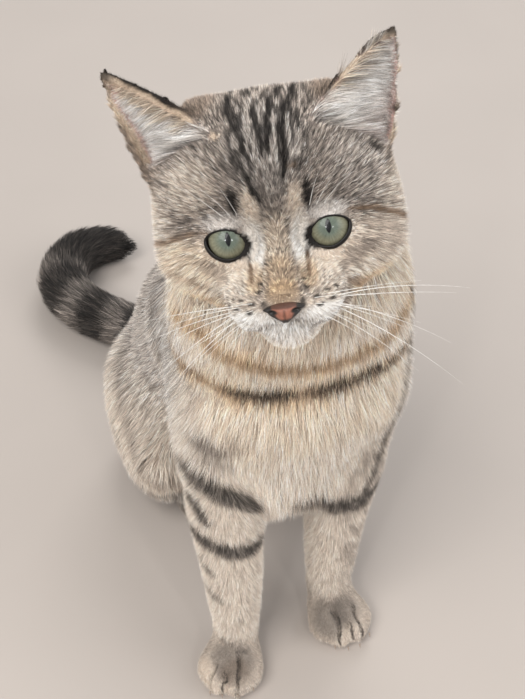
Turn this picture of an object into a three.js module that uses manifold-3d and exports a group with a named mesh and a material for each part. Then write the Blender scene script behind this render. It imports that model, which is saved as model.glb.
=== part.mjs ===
// A domestic shorthaired cat, sitting upright on the floor, life size.
// Millimetres, +Z up. The cat faces -Y, its right side is -X, and the floor is z = 0.
// Every outline is taken to the tips of the coat. Neighbouring pieces are parted by thin cuts.

import * as THREE from 'three';
import { LoftGeometry } from 'three/addons/geometries/LoftGeometry.js';
import { mergeVertices } from 'three/addons/utils/BufferGeometryUtils.js';
import Module from 'manifold-3d';

const wasm = await Module();
wasm.setup();

// ---------------------------------------------------------------- driving dimensions

const GAP = 0.35;               // width of the cut between two neighbouring pieces
const RIGHT = -1;
const LEFT = 1;

// The head has a frame of its own: origin midway between the two eyes,
// x to the cat's left, y to the back of the skull, z to the crown.
const HEAD = {
  origin: [-25.4, -138.1, 329.7],
  lift: -24.7,                  // degrees, the face looks up
  roll: -9.1,                   // degrees, the left side is the higher one
  turn: -18,                    // degrees, the face looks to the cat's right
};
const EYE = { apart: 42.6, radius: 10.5, depth: 9.2 };
const LIDS = { openWidth: 18, openHeight: 12.5, openDepth: 18, front: -2, slant: 9 };
const NOSE = { front: -34.5, height: -20.5, halfWidth: 8.2 };

const EAR = {
  halfWidth: 23, depth: 15, thickness: 4.2, height: 60,
  sweep: 86,                    // degrees to each side that the cup wraps round
  taper: 0.9,                   // share of its width lost from base to tip
  tipThinning: 0.55,            // share of its thickness lost from base to tip
};
const EAR_RIGHT = { base: [-35, 25, 31], tip: [-65.5, 27, 75], turn: 6 };
const EAR_LEFT = { base: [34, 23, 33], tip: [59, 26, 77], turn: 0 };

const TRUNK_CENTRE = [0, 8, 130];
const SLAB_REACH = 400;         // a slab of the trunk runs past it by this much
const CHEST_BACK = -22;         // place of the cut behind the ribs, along the spine
const RUMP_FRONT = 52;          // place of the cut before the hips, along the spine
const TRUNK_CUT_LEAN = -40;     // degrees, both cuts stand square to the leaning spine

// A foreleg stands on its foot point, the floor below the wrist, with its paw turned out.
const FORELEG_RIGHT = { foot: [-36.5, -98.5], turnOut: 26, elbow: [-41, -74] };
const FORELEG_LEFT = { foot: [24.5, -81], turnOut: 7, elbow: [43, -60] };

// A hind foot lies on the floor from heel to toes.
const HINDLEG_RIGHT = { side: RIGHT, toes: [-27, 4], heel: [-51, 100], thigh: [-50, 58, 68] };
const HINDLEG_LEFT = { side: LEFT, toes: [37, -2], heel: [52, 96], thigh: [49, 56, 68] };

const TAIL_PATH = [
  [0, 112, 30], [-14, 148, 20], [-36, 178, 17], [-56, 198, 17],
  [-71, 221, 18], [-73, 246, 18], [-60, 269, 17], [-38, 279, 15], [-10, 272, 12],
];
const TAIL_HALF_WIDTHS = [17, 17, 17.5, 18, 19, 19, 18, 16, 12.5];
const TAIL_RINGS = 18;
const TAIL_LENGTHS = [                 // the ring where each length begins
  { name: 'tail_root', firstRing: 0 },
  { name: 'tail_second', firstRing: 6 },
  { name: 'tail_third', firstRing: 9 },
  { name: 'tail_tip', firstRing: 13 },
];

const FINISH = {
  grey: { color: 0x8b8075, roughness: 0.9 },
  cream: { color: 0xd2bea3, roughness: 0.9 },
  dark: { color: 0x2b2725, roughness: 0.9 },
  brown: { color: 0x9c8268, roughness: 0.85 },
  noseLeather: { color: 0xa9604b, roughness: 0.55 },
  eye: { color: 0x9fae8c, roughness: 0.1 },
};

// ---------------------------------------------------------------- shape helpers

const FARTHEST = 240;           // no soft form reaches farther than this from its centre
const SEARCH_STEP = 3;
const HALVINGS = 12;            // how often the last step of a search is halved
const BLUNT_END = 0.2;          // share of its full size that a limb keeps at its very end

const FORWARD = new THREE.Vector3(0, -1, 0);
const UP = new THREE.Vector3(0, 0, 1);
const FULL_SIZE = new THREE.Vector3(1, 1, 1);
const radians = THREE.MathUtils.degToRad;
const vector = (xyz) => new THREE.Vector3(...xyz);

/** One ellipsoid lump of a soft form. */
function lump(centre, radii) {
  return { centre: vector(centre), radii: vector(radii) };
}

/** The same lump on both sides of the middle plane x = 0. */
function pair([x, y, z], radii) {
  return [lump([x, y, z], radii), lump([-x, y, z], radii)];
}

/** Whether a point is inside the lumps, which melt together over a blending distance. */
function isInside(point, lumps, blend) {
  let sum = 0;
  for (const { centre, radii } of lumps) {
    const scaled = point.clone().sub(centre).divide(radii);
    const size = scaled.length();
    const slope = Math.max(scaled.divide(radii).length(), 1e-6);
    sum += Math.exp((-size * (size - 1)) / (slope * blend));
  }
  return sum >= 1;
}

/** The outermost distance from the centre, along a direction, that is still inside the lumps. */
function reach(centre, direction, lumps, blend) {
  let inside = FARTHEST;
  const pointAt = (distance) => centre.clone().addScaledVector(direction, distance);
  while (inside > SEARCH_STEP && !isInside(pointAt(inside), lumps, blend)) inside -= SEARCH_STEP;
  let outside = inside + SEARCH_STEP;
  for (let halving = 0; halving < HALVINGS; halving += 1) {
    const middle = (inside + outside) / 2;
    if (isInside(pointAt(middle), lumps, blend)) inside = middle;
    else outside = middle;
  }
  return inside;
}

/** A soft closed form: a sphere drawn out, from its centre, to the surface of blended lumps. */
function softForm({ centre, lumps, around, along, blend, grow = 0 }) {
  const geometry = new THREE.SphereGeometry(1, around, along);
  const middle = vector(centre);
  const places = geometry.attributes.position;
  const direction = new THREE.Vector3();
  for (let index = 0; index < places.count; index += 1) {
    direction.fromBufferAttribute(places, index).normalize();
    const distance = reach(middle, direction, lumps, blend) + grow;
    const place = middle.clone().addScaledVector(direction, distance);
    places.setXYZ(index, place.x, place.y, place.z);
  }
  return geometry;
}

/** The oval sections of a round-ended limb, strung on a smooth line through its stations. */
function limbSections({ stations, front, sides, rings, domes = [0.15, 0.15], grow = 0 }) {
  const line = new THREE.CatmullRomCurve3(stations.map((station) => vector(station.at)));
  const sizes = new THREE.CatmullRomCurve3(
    stations.map((station) => new THREE.Vector3(station.wide, station.deep, 0)),
  );
  const domeAt = (distance, dome) => {
    if (distance >= dome) return 1;
    return Math.max(BLUNT_END, Math.sqrt(1 - (1 - distance / dome) ** 2));
  };
  const sections = [];
  for (let ring = 0; ring <= rings; ring += 1) {
    const along = (1 - Math.cos((Math.PI * ring) / rings)) / 2;
    const tangent = line.getTangent(along);
    const deepAxis = front.clone().addScaledVector(tangent, -front.dot(tangent)).normalize();
    const wideAxis = deepAxis.clone().cross(tangent);
    const round = domeAt(along, domes[0]) * domeAt(1 - along, domes[1]);
    const size = sizes.getPoint(along);
    const section = [];
    for (let side = 0; side < sides; side += 1) {
      const angle = (2 * Math.PI * side) / sides;
      section.push(line.getPoint(along)
        .addScaledVector(wideAxis, (size.x * round + grow) * Math.cos(angle))
        .addScaledVector(deepAxis, (size.y * round + grow) * Math.sin(angle)));
    }
    sections.push(section);
  }
  return sections;
}

/** The closed skin over a row of sections. */
function loft(sections) {
  return new LoftGeometry(sections, { capStart: true, capEnd: true });
}

/** Turn a geometry into a solid that can be cut, placed by a matrix. */
function solid(geometry, matrix = new THREE.Matrix4()) {
  const bare = new THREE.BufferGeometry();
  bare.setAttribute('position', geometry.attributes.position);
  bare.setIndex(geometry.index);
  const merged = mergeVertices(bare.applyMatrix4(matrix), 1e-3);
  return new wasm.Manifold(new wasm.Mesh({
    numProp: 3,
    vertProperties: merged.attributes.position.array,
    triVerts: Uint32Array.from(merged.index.array),
  }));
}

/** A whole limb as a solid. */
function limb(options) {
  return solid(loft(limbSections(options)));
}

/** A box between two corners, as a solid, placed by a matrix. */
function block(low, high, matrix) {
  const size = vector(high).sub(vector(low));
  const geometry = new THREE.BoxGeometry(size.x, size.y, size.z);
  geometry.translate(low[0] + size.x / 2, low[1] + size.y / 2, low[2] + size.z / 2);
  return solid(geometry, matrix);
}

/** Cut each of the other solids away from a solid. */
function without(body, ...cutters) {
  return cutters.reduce((rest, cutter) => rest.subtract(cutter), body);
}

const ABOVE_FLOOR = block([-300, -400, 0], [300, 500, 600]);
const cat = new THREE.Group();

/** Trim a solid flat at the floor, keep its main body and add it to the cat as a named mesh. */
function addPiece(name, body, finish) {
  const bodies = body.intersect(ABOVE_FLOOR).decompose();
  bodies.sort((one, other) => other.volume() - one.volume());
  const { vertProperties, triVerts } = bodies[0].getMesh();
  const geometry = new THREE.BufferGeometry();
  geometry.setAttribute('position', new THREE.BufferAttribute(vertProperties, 3));
  geometry.setIndex(new THREE.BufferAttribute(triVerts, 1));
  geometry.computeVertexNormals();
  const material = new THREE.MeshStandardMaterial({ ...finish, metalness: 0 });
  const mesh = new THREE.Mesh(geometry, material);
  mesh.name = name;
  cat.add(mesh);
}

// ---------------------------------------------------------------- head

const headFrame = new THREE.Matrix4().compose(
  vector(HEAD.origin),
  new THREE.Quaternion().setFromEuler(
    new THREE.Euler(radians(HEAD.lift), radians(HEAD.roll), radians(HEAD.turn), 'ZXY'),
  ),
  FULL_SIZE,
);

/** The head behind the muzzle, with the cheeks and their fur. */
function skullForm(grow) {
  const lumps = [
    lump([0, 36, 12], [48, 41, 47]),                // braincase
    lump([0, 14, 23], [27, 19, 24]),                // forehead
    ...pair([35, 29, 12], [19, 24, 22]),            // temples
    ...pair([27, 42, 36], [20, 24, 23]),            // where the ears grow
    ...pair([33, 27, -9], [22, 23, 20]),            // cheeks
    lump([0, 19, -11], [35, 18, 26]),               // face below the eyes
    ...pair([17, 11, 13.5], [12, 9, 6]),            // brows
    lump([0, 20, -32], [28, 22, 14]),               // throat and jowls
  ];
  const form = softForm({ centre: [0, 26, 2], lumps, around: 24, along: 16, blend: 3, grow });
  return solid(form, headFrame);
}

/** The upper jaw: bridge, end of the nose and whisker pads. */
function muzzleForm(grow) {
  const lumps = [
    lump([0, 3, 2], [8, 12, 13]),                   // bridge between the eyes
    lump([0, -8, -10], [8.5, 14, 9]),               // bridge of the nose
    lump([0, -15, -19], [8.5, 16.5, 8]),            // end of the nose
    ...pair([11, -12, -26], [12, 14, 10.5]),        // whisker pads
    ...pair([15, 1, -22], [12, 13, 13]),            // where the pads meet the cheeks
  ];
  const form = softForm({ centre: [0, -3, -17], lumps, around: 16, along: 11, blend: 1.6, grow });
  return solid(form, headFrame);
}

/** The lower jaw, from the chin back to the throat. */
function jawForm(grow) {
  const lumps = [lump([0, -8, -38], [12, 13.5, 8.5]), lump([0, 8, -36], [17, 18, 11])];
  const form = softForm({ centre: [0, 0, -37], lumps, around: 10, along: 7, blend: 2, grow });
  return solid(form, headFrame);
}

/** One eyeball, set in the head almost as deep as its radius. */
function eyeForm(side, grow) {
  const geometry = new THREE.SphereGeometry(EYE.radius + grow, 12, 8);
  geometry.translate((side * EYE.apart) / 2, EYE.depth, 0);
  return solid(geometry, headFrame);
}

/** The almond-shaped opening between the lids, scooped out in front of one eyeball. */
function lidOpening(side) {
  const geometry = new THREE.SphereGeometry(1, 10, 6);
  geometry.scale(LIDS.openWidth / 2, LIDS.openDepth / 2, LIDS.openHeight / 2);
  geometry.rotateY(radians(-side * LIDS.slant));
  geometry.translate((side * EYE.apart) / 2, LIDS.front, 0);
  return solid(geometry, headFrame);
}

/** The bare leather at the end of the nose: two wings over a narrow middle. */
function noseForm(grow) {
  const { front, height, halfWidth } = NOSE;
  const wing = halfWidth / 2;
  const lumps = [
    ...pair([wing, front + 5.5, height + 1], [wing, 4.5, 3.6]),
    lump([0, front + 4.5, height - 2.6], [3.4, 4.2, 4]),
  ];
  const centre = [0, front + 5.5, height];
  return solid(softForm({ centre, lumps, around: 9, along: 6, blend: 0.8, grow }), headFrame);
}

/** One cupped ear, open to the front, narrowing in a curve from its base to a point. */
function earForm({ base, tip, turn }, side) {
  const rings = 6;
  const arcPoints = 7;
  const sections = [];
  for (let ring = 0; ring <= rings; ring += 1) {
    const rise = ring / rings;
    const narrowing = 1 - EAR.taper * rise ** 1.35;
    const thickness = EAR.thickness * (1 - EAR.tipThinning * rise);
    const section = [];
    for (const [inset, direction] of [[0, 1], [thickness, -1]]) {
      const halfWidth = Math.max(0.6, EAR.halfWidth * narrowing - inset);
      const depth = Math.max(0.4, EAR.depth * narrowing - inset);
      for (let point = 0; point < arcPoints; point += 1) {
        const angle = direction * radians(EAR.sweep) * (1 - (2 * point) / (arcPoints - 1));
        const across = halfWidth * Math.sin(angle);
        const back = depth * Math.cos(angle);
        section.push(new THREE.Vector3(across, back, EAR.height * rise));
      }
    }
    sections.push(section);
  }
  const axis = vector(tip).sub(vector(base));
  const upright = new THREE.Quaternion().setFromUnitVectors(UP, axis.clone().normalize());
  const spin = new THREE.Quaternion().setFromAxisAngle(UP, radians(side * turn));
  const start = vector(tip).addScaledVector(axis.normalize(), -EAR.height);
  const place = new THREE.Matrix4().compose(start, upright.multiply(spin), FULL_SIZE);
  return solid(loft(sections), new THREE.Matrix4().multiplyMatrices(headFrame, place));
}

/** The neck, from inside the skull to inside the chest. */
function neckForm(grow) {
  const stations = [
    { at: [-13, -98, 322], wide: 36, deep: 36 },
    { at: [-10, -93, 294], wide: 52, deep: 44 },
    { at: [-3, -81, 260], wide: 60, deep: 47 },
    { at: [3, -66, 222], wide: 60, deep: 46 },
    { at: [3, -54, 190], wide: 46, deep: 36 },
  ];
  return limb({ stations, front: FORWARD, sides: 14, rings: 7, grow });
}

function addHead() {
  const skull = skullForm(GAP);
  const muzzle = muzzleForm(GAP);
  const sockets = [RIGHT, LEFT].flatMap((side) => [eyeForm(side, GAP), lidOpening(side)]);
  addPiece('head', without(skullForm(0), muzzle, jawForm(GAP), ...sockets), FINISH.grey);
  addPiece('muzzle', without(muzzleForm(0), noseForm(GAP), ...sockets), FINISH.cream);
  addPiece('lower_jaw', without(jawForm(0), muzzle), FINISH.cream);
  addPiece('nose', noseForm(0), FINISH.noseLeather);
  addPiece('eye_right', eyeForm(RIGHT, 0), FINISH.eye);
  addPiece('eye_left', eyeForm(LEFT, 0), FINISH.eye);
  addPiece('ear_right', without(earForm(EAR_RIGHT, RIGHT), skull), FINISH.brown);
  addPiece('ear_left', without(earForm(EAR_LEFT, LEFT), skull), FINISH.brown);
  addPiece('neck', without(neckForm(0), skull, jawForm(GAP)), FINISH.cream);
}

// ---------------------------------------------------------------- trunk

/** The trunk from the breast to the seat, less the neck, legs and tail. */
function trunkForm(grow) {
  const lumps = [
    lump([2, -71, 190], [53, 44, 62]),              // breast
    lump([0, -72, 126], [32, 30, 34]),              // fringe below the breastbone
    lump([2, -34, 212], [50, 42, 46]),              // withers
    lump([0, -2, 168], [56, 56, 60]),               // ribs
    lump([0, 40, 126], [59, 56, 62]),               // loins
    lump([0, 74, 80], [60, 52, 62]),                // rump
    lump([0, 72, 28], [52, 56, 34]),                // seat
    lump([0, 12, 84], [40, 50, 46]),                // belly
  ];
  return solid(softForm({ centre: TRUNK_CENTRE, lumps, around: 20, along: 14, blend: 6, grow }));
}

/** A slab of the trunk between two leaning cuts. */
function trunkSlab(front, back) {
  const lean = new THREE.Matrix4().makeRotationX(radians(TRUNK_CUT_LEAN));
  const place = new THREE.Matrix4().makeTranslation(0, 0, TRUNK_CENTRE[2]).multiply(lean);
  return block([-SLAB_REACH, front, -SLAB_REACH], [SLAB_REACH, back, SLAB_REACH], place);
}

// ---------------------------------------------------------------- forelegs

/** The paw: palm, wrist and four toes, toes to the front. */
function forepawForm({ foot, turnOut }, side, grow) {
  const lumps = [
    lump([0, -9, 10.5], [16.5, 18, 13]),            // palm
    lump([0, 1, 25], [13.5, 14, 18]),               // wrist
    ...pair([5.6, -24.5, 7.5], [5.8, 11, 10]),      // middle toes
    ...pair([14, -17.5, 7.5], [5.6, 11, 9.5]),      // outer toes
  ];
  const form = softForm({ centre: [0, -8, 12], lumps, around: 14, along: 10, blend: 1.2, grow });
  const turned = new THREE.Matrix4().makeRotationZ(radians(side * turnOut));
  return solid(form, turned.setPosition(foot[0], foot[1], 0));
}

/** The forearm, upright from the wrist to the elbow. */
function forearmForm({ foot: [x, y], elbow }, grow) {
  const between = (share) => [x + (elbow[0] - x) * share, y + (elbow[1] - y) * share];
  const stations = [
    { at: [...between(-0.05), 18], wide: 14, deep: 14 },
    { at: [...between(0), 44], wide: 15.5, deep: 16 },
    { at: [...between(0.15), 80], wide: 18.5, deep: 19 },
    { at: [...between(0.5), 118], wide: 22, deep: 25 },
    { at: [...between(1), 150], wide: 20, deep: 26 },
  ];
  return limb({ stations, front: FORWARD, sides: 10, rings: 6, grow });
}

/** The upper arm and shoulder, lying on the side of the ribs. */
function upperArmForm({ elbow: [x, y] }, side, grow) {
  const stations = [
    { at: [x, y + 4, 118], wide: 17, deep: 22 },
    { at: [x + side * 1, y + 4, 148], wide: 20, deep: 29 },
    { at: [side * 42 + 4, -54, 186], wide: 20, deep: 32 },
    { at: [side * 34 + 3, -42, 236], wide: 16, deep: 26 },
  ];
  return limb({ stations, front: FORWARD, sides: 10, rings: 6, domes: [0.25, 0.3], grow });
}

// ---------------------------------------------------------------- hind legs

/** The folded thigh with the knee at its front. */
function thighForm({ thigh: [x, y, z] }, grow) {
  const lumps = [
    lump([x, y, z], [26, 44, 46]),                  // thigh
    lump([x, y - 14, z - 22], [24, 46, 26]),        // its lower edge
    lump([x, y - 46, z - 8], [21, 24, 27]),         // knee
  ];
  const centre = [x, y - 8, z - 8];
  return solid(softForm({ centre, lumps, around: 14, along: 9, blend: 4, grow }));
}

/** The long hind foot, flat on the floor, with its four toes. */
function hindFootForm({ toes, heel }, grow) {
  const length = Math.hypot(heel[0] - toes[0], heel[1] - toes[1]);
  const lumps = [
    lump([0, 14, 9], [15, 17, 11]),                 // ball of the foot
    ...pair([5, 9, 7.5], [5.4, 10, 8]),             // middle toes
    ...pair([12, 15, 7], [5.2, 10, 7.5]),           // outer toes
    lump([0, length / 2, 8], [12, length / 2, 10]), // sole
    lump([0, length - 14, 12], [13, 16, 15]),       // heel
  ];
  const centre = [0, length / 2, 8];
  const form = softForm({ centre, lumps, around: 12, along: 10, blend: 1.5, grow });
  const turn = Math.atan2(toes[0] - heel[0], heel[1] - toes[1]);
  const turned = new THREE.Matrix4().makeRotationZ(turn);
  return solid(form, turned.setPosition(toes[0], toes[1], 0));
}

/** The shank, doubled back under the thigh from the knee to the heel. */
function shankForm({ thigh: [x, y], heel }, grow) {
  const stations = [
    { at: [x, y - 50, 36], wide: 16, deep: 20 },
    { at: [x, y - 20, 28], wide: 20, deep: 22 },
    { at: [heel[0], y + 16, 24], wide: 19, deep: 20 },
    { at: [heel[0], heel[1] - 6, 24], wide: 14, deep: 17 },
  ];
  return limb({ stations, front: UP, sides: 8, rings: 5, grow });
}

// ---------------------------------------------------------------- tail

/** The lengths of the tail, parted by thin cuts, from the root to the tip. */
function tailForms() {
  const stations = TAIL_PATH.map((at, index) => {
    const halfWidth = TAIL_HALF_WIDTHS[index];
    return { at, wide: halfWidth, deep: halfWidth };
  });
  const domes = [0.05, 0.16];
  const rings = limbSections({ stations, front: UP, sides: 12, rings: TAIL_RINGS, domes });
  return TAIL_LENGTHS.map(({ name, firstRing }, index) => {
    const lastRing = TAIL_LENGTHS[index + 1]?.firstRing ?? TAIL_RINGS;
    const length = rings.slice(firstRing, lastRing + 1);
    if (index > 0) {
      length[0] = length[0].map((point, side) => {
        const away = length[1][side].clone().sub(point).setLength(GAP);
        return away.add(point);
      });
    }
    return { name, form: solid(loft(length)) };
  });
}

// ---------------------------------------------------------------- assembly

function addForeleg(name, leg, side) {
  const upperArm = upperArmForm(leg, side, GAP);
  const paw = forepawForm(leg, side, GAP);
  addPiece(`forepaw_${name}`, forepawForm(leg, side, 0), FINISH.cream);
  addPiece(`forearm_${name}`, without(forearmForm(leg, 0), upperArm, paw), FINISH.cream);
  addPiece(`upper_arm_${name}`, without(upperArmForm(leg, side, 0), neckForm(GAP)), FINISH.grey);
  return [upperArm, forearmForm(leg, GAP)];
}

function addHindleg(name, leg) {
  const thigh = thighForm(leg, GAP);
  const foot = hindFootForm(leg, GAP);
  addPiece(`hind_foot_${name}`, without(hindFootForm(leg, 0), thigh), FINISH.cream);
  addPiece(`shank_${name}`, without(shankForm(leg, 0), thigh, foot), FINISH.cream);
  addPiece(`thigh_${name}`, thighForm(leg, 0), FINISH.grey);
  return [thigh, foot, shankForm(leg, GAP)];
}

function addTrunk(cutters) {
  const trunk = without(trunkForm(0), neckForm(GAP), ...cutters);
  addPiece('chest', trunk.intersect(trunkSlab(-SLAB_REACH, CHEST_BACK)), FINISH.cream);
  addPiece('loins', trunk.intersect(trunkSlab(CHEST_BACK + GAP, RUMP_FRONT)), FINISH.grey);
  addPiece('rump', trunk.intersect(trunkSlab(RUMP_FRONT + GAP, SLAB_REACH)), FINISH.grey);
}

function addTail(hips) {
  for (const { name, form } of tailForms()) addPiece(name, without(form, ...hips), FINISH.dark);
}

addHead();
const legCutters = [
  ...addForeleg('right', FORELEG_RIGHT, RIGHT),
  ...addForeleg('left', FORELEG_LEFT, LEFT),
  ...addHindleg('right', HINDLEG_RIGHT),
  ...addHindleg('left', HINDLEG_LEFT),
];
addTrunk(legCutters);
addTail([trunkForm(GAP), ...legCutters]);

// The origin is the middle of the cat's box, at the floor.
const box = new THREE.Box3().setFromObject(cat);
const middle = box.getCenter(new THREE.Vector3());
cat.children.forEach((mesh) => mesh.geometry.translate(-middle.x, -middle.y, 0));

export default cat;
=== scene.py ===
import logging
import math
from collections.abc import Callable
from dataclasses import dataclass, field
from enum import Enum
from typing import ClassVar

import bpy
import numpy as np
from mathutils import Euler, Matrix, Vector
from mathutils.bvhtree import BVHTree
from mathutils.kdtree import KDTree


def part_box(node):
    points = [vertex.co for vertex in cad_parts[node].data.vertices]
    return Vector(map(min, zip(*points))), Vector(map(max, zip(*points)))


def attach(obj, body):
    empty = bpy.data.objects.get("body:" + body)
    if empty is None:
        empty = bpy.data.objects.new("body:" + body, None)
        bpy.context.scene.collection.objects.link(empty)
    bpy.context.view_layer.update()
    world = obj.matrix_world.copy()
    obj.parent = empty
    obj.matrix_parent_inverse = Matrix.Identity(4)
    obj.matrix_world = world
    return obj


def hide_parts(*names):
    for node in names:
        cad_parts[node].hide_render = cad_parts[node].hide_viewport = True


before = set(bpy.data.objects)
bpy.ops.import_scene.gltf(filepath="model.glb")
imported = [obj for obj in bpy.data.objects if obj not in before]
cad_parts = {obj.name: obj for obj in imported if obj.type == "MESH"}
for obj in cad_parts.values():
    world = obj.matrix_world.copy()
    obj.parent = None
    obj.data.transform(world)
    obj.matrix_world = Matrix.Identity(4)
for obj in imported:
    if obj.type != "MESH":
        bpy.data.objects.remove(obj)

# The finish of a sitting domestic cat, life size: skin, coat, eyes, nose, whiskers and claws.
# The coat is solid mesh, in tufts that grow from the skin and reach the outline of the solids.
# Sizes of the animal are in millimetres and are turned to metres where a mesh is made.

log = logging.getLogger("cat")

Array = np.ndarray
Draws = np.random.Generator
Piece = bpy.types.Object
Mesh = bpy.types.Mesh
Material = bpy.types.Material
Socket = bpy.types.NodeSocket
Place = tuple[float, float, float]
Line = tuple[Place, ...]

MM = 0.001                       # metres in a millimetre
SEED = 20                        # starts every draw of random numbers
BODY = "root"                    # the body of the record that all pieces ride on
COAT_SLOT, NOSE_SLOT, EYE_SLOT = "coat", "nose_leather", "eye"
COLOUR_LAYER = "coat_colour"     # the attribute that carries the markings
BAKE_MAP = "OFBake"
MOST_TRIANGLES = 196000          # in one piece of the coat
RIGHT, LEFT = -1, 1              # the cat's own sides


# ---------------- tones of the animal


def linear(red: int, green: int, blue: int) -> Array:
    """Turns a colour as seen on a screen, 0 to 255, into a linear one, 0 to 1."""
    seen = np.array([red, green, blue]) / 255
    return np.where(seen <= 0.04045, seen / 12.92, ((seen + 0.055) / 1.055) ** 2.4)


class Tone(Enum):
    """The tones that the coat and the bare skin are painted with."""

    GREY = (160, 148, 138)
    SILVER = (222, 214, 207)
    CREAM = (230, 213, 196)
    SAND = (218, 195, 167)
    WHITE = (244, 238, 231)
    OCHRE = (204, 166, 118)
    BROWN = (112, 90, 70)
    DARK = (30, 25, 22)
    SLATE = (96, 87, 80)
    PINK = (196, 160, 150)

    @property
    def colour(self) -> Array:
        """The tone as a linear colour."""
        return linear(*self.value)


# ---------------- small sums on arrays


def unit(rows: Array) -> Array:
    """Returns the rows at length one."""
    return rows / np.maximum(np.linalg.norm(rows, axis=-1, keepdims=True), 1e-12)


def ease(low: float, high: float, value: Array) -> Array:
    """Rises smoothly from 0 where a value is low to 1 where it is high."""
    share = np.clip((value - low) / (high - low), 0, 1)
    return share * share * (3 - 2 * share)


def mottle(points: Array, size: float, seed: int) -> Array:
    """Smooth random mottling in space.

    Args:
        points: Places, one in a row.
        size: Size of one mottle, in the unit of the places.
        seed: Starts the pattern.

    Returns:
        A value from 0 to 1 for each place.
    """
    scaled = points / size + 1000
    cell = np.floor(scaled).astype(np.int64)
    part = scaled - cell
    part = part * part * (3 - 2 * part)
    total = np.zeros(len(points))
    for corner in np.ndindex(2, 2, 2):
        at = cell + np.array(corner)
        mixed = at[:, 0] * 374761393 + at[:, 1] * 668265263 + at[:, 2] * 974634777 + seed * 69069
        mixed = (mixed ^ (mixed >> 13)) * 1274126177
        value = ((mixed ^ (mixed >> 16)) & 0xFFFFF) / 0xFFFFF
        total += value * np.prod(np.where(corner, part, 1 - part), axis=1)
    return total


def near_line(points: Array, line: Array) -> tuple[Array, Array]:
    """Measures places against a bent line.

    Args:
        points: Places, one in a row.
        line: The corners of the line, one in a row.

    Returns:
        The distance of each place, and the share of the line's length where it is nearest.
    """
    best = np.full(len(points), np.inf)
    share = np.zeros(len(points))
    steps = np.diff(line, axis=0)
    lengths = np.linalg.norm(steps, axis=1)
    before = 0.0
    for start, step, length in zip(line[:-1], steps, lengths):
        along = np.clip((points - start) @ step / (step @ step), 0, 1)
        gap = np.linalg.norm(points - start - along[:, None] * step, axis=1)
        closer = gap < best
        best[closer] = gap[closer]
        share[closer] = (before + along[closer] * length) / lengths.sum()
        before += length
    return best, share


def turn_about(rows: Array, axes: Array, angles: Array) -> Array:
    """Turns each row about its own axis.

    Args:
        rows: Directions, one in a row.
        axes: The unit axis of each.
        angles: The angle of each, in radians.

    Returns:
        The turned directions.
    """
    cosine, sine = np.cos(angles)[:, None], np.sin(angles)[:, None]
    lifted = axes * np.sum(axes * rows, axis=1, keepdims=True)
    return rows * cosine + np.cross(axes, rows) * sine + lifted * (1 - cosine)


# ---------------- the head's own frame


@dataclass(frozen=True)
class HeadFrame:
    """The frame of the head, in mm: x to the cat's left, y to the back, z to the crown."""

    lift: float = -24.7          # degrees, the face looks up
    roll: float = -9.1           # degrees, the left side is the higher one
    turn: float = -18.0          # degrees, the face looks to the cat's right
    eye_depth: float = 9.2       # mm that the middle of an eyeball lies behind the lids

    @property
    def axes(self) -> Array:
        """The three axes of the head as columns.

        Returns:
            One axis in each column.
        """
        spin = Matrix.Rotation(math.radians(self.turn), 3, "Z")
        nod = Matrix.Rotation(math.radians(self.lift), 3, "X")
        tip = Matrix.Rotation(math.radians(self.roll), 3, "Y")
        return np.array(spin @ nod @ tip)

    @property
    def origin(self) -> Array:
        """The point midway between the lids, in mm."""
        middles = [sum(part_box(f"eye_{side}"), Vector()) / 2 for side in ("right", "left")]
        return np.array(sum(middles, Vector()) / 2) / MM - self.axes @ (0, self.eye_depth, 0)

    def enter(self, points: Array) -> Array:
        """Turns places in metres into places in the head's frame, in mm."""
        return (points / MM - self.origin) @ self.axes

    def leave(self, points: Array) -> Array:
        """Turns places in the head's frame, in mm, into places in metres."""
        return (np.asarray(points, float) @ self.axes.T + self.origin) * MM


# ---------------- how the coat lies


@dataclass(frozen=True)
class Lie:
    """The coat on one part of the body. Lengths are in mm."""

    depth: float                 # from the skin out to the tips
    length: float                # of one tuft
    width: float                 # of one tuft at its root
    density: float               # tufts on a square millimetre
    smoothing: int               # rounds that soften the skin there
    flow: Place = (0.0, 0.0, -1.0)


class Part(Enum):
    """The parts of the body, each with the lie of its coat."""

    HEAD = Lie(3.0, 4.9, 0.25, 9.0, 22)
    MUZZLE = Lie(1.2, 2.7, 0.20, 12.0, 8)
    JAW = Lie(2.0, 4.2, 0.22, 9.0, 12)
    EAR = Lie(0.8, 4.0, 0.20, 9.0, 3)
    NECK = Lie(9.0, 19.0, 0.27, 4.2, 120, (0.0, 0.1, -1.0))
    CHEST = Lie(10.0, 22.0, 0.27, 4.2, 120, (0.0, 0.05, -1.0))
    UPPER_ARM = Lie(6.0, 13.0, 0.28, 5.0, 60, (0.0, 0.1, -1.0))
    FOREARM = Lie(3.2, 6.5, 0.24, 6.2, 25, (0.0, 0.05, -1.0))
    FOREPAW = Lie(1.2, 2.3, 0.19, 11.0, 3, (0.0, -0.7, -0.7))
    LOINS = Lie(7.0, 14.0, 0.34, 2.5, 90, (0.0, 0.6, -0.8))
    RUMP = Lie(8.0, 16.0, 0.36, 2.2, 90, (0.0, 0.8, -0.6))
    THIGH = Lie(8.0, 15.0, 0.34, 2.4, 70, (0.0, 0.1, -1.0))
    SHANK = Lie(4.0, 8.5, 0.28, 4.2, 30, (0.0, -0.6, -0.8))
    HIND_FOOT = Lie(1.8, 4.6, 0.25, 5.0, 10, (0.0, -1.0, -0.3))
    TAIL = Lie(6.0, 16.0, 0.36, 3.2, 40)

    @classmethod
    def of(cls, node: str) -> "Part":
        """The part that a CAD node belongs to, whichever its side.

        Args:
            node: The node's name.

        Returns:
            The part.
        """
        name = node.removesuffix("_right").removesuffix("_left").upper()
        if name.startswith("TAIL"):
            return cls.TAIL
        return cls.JAW if name == "LOWER_JAW" else cls[name]


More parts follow.
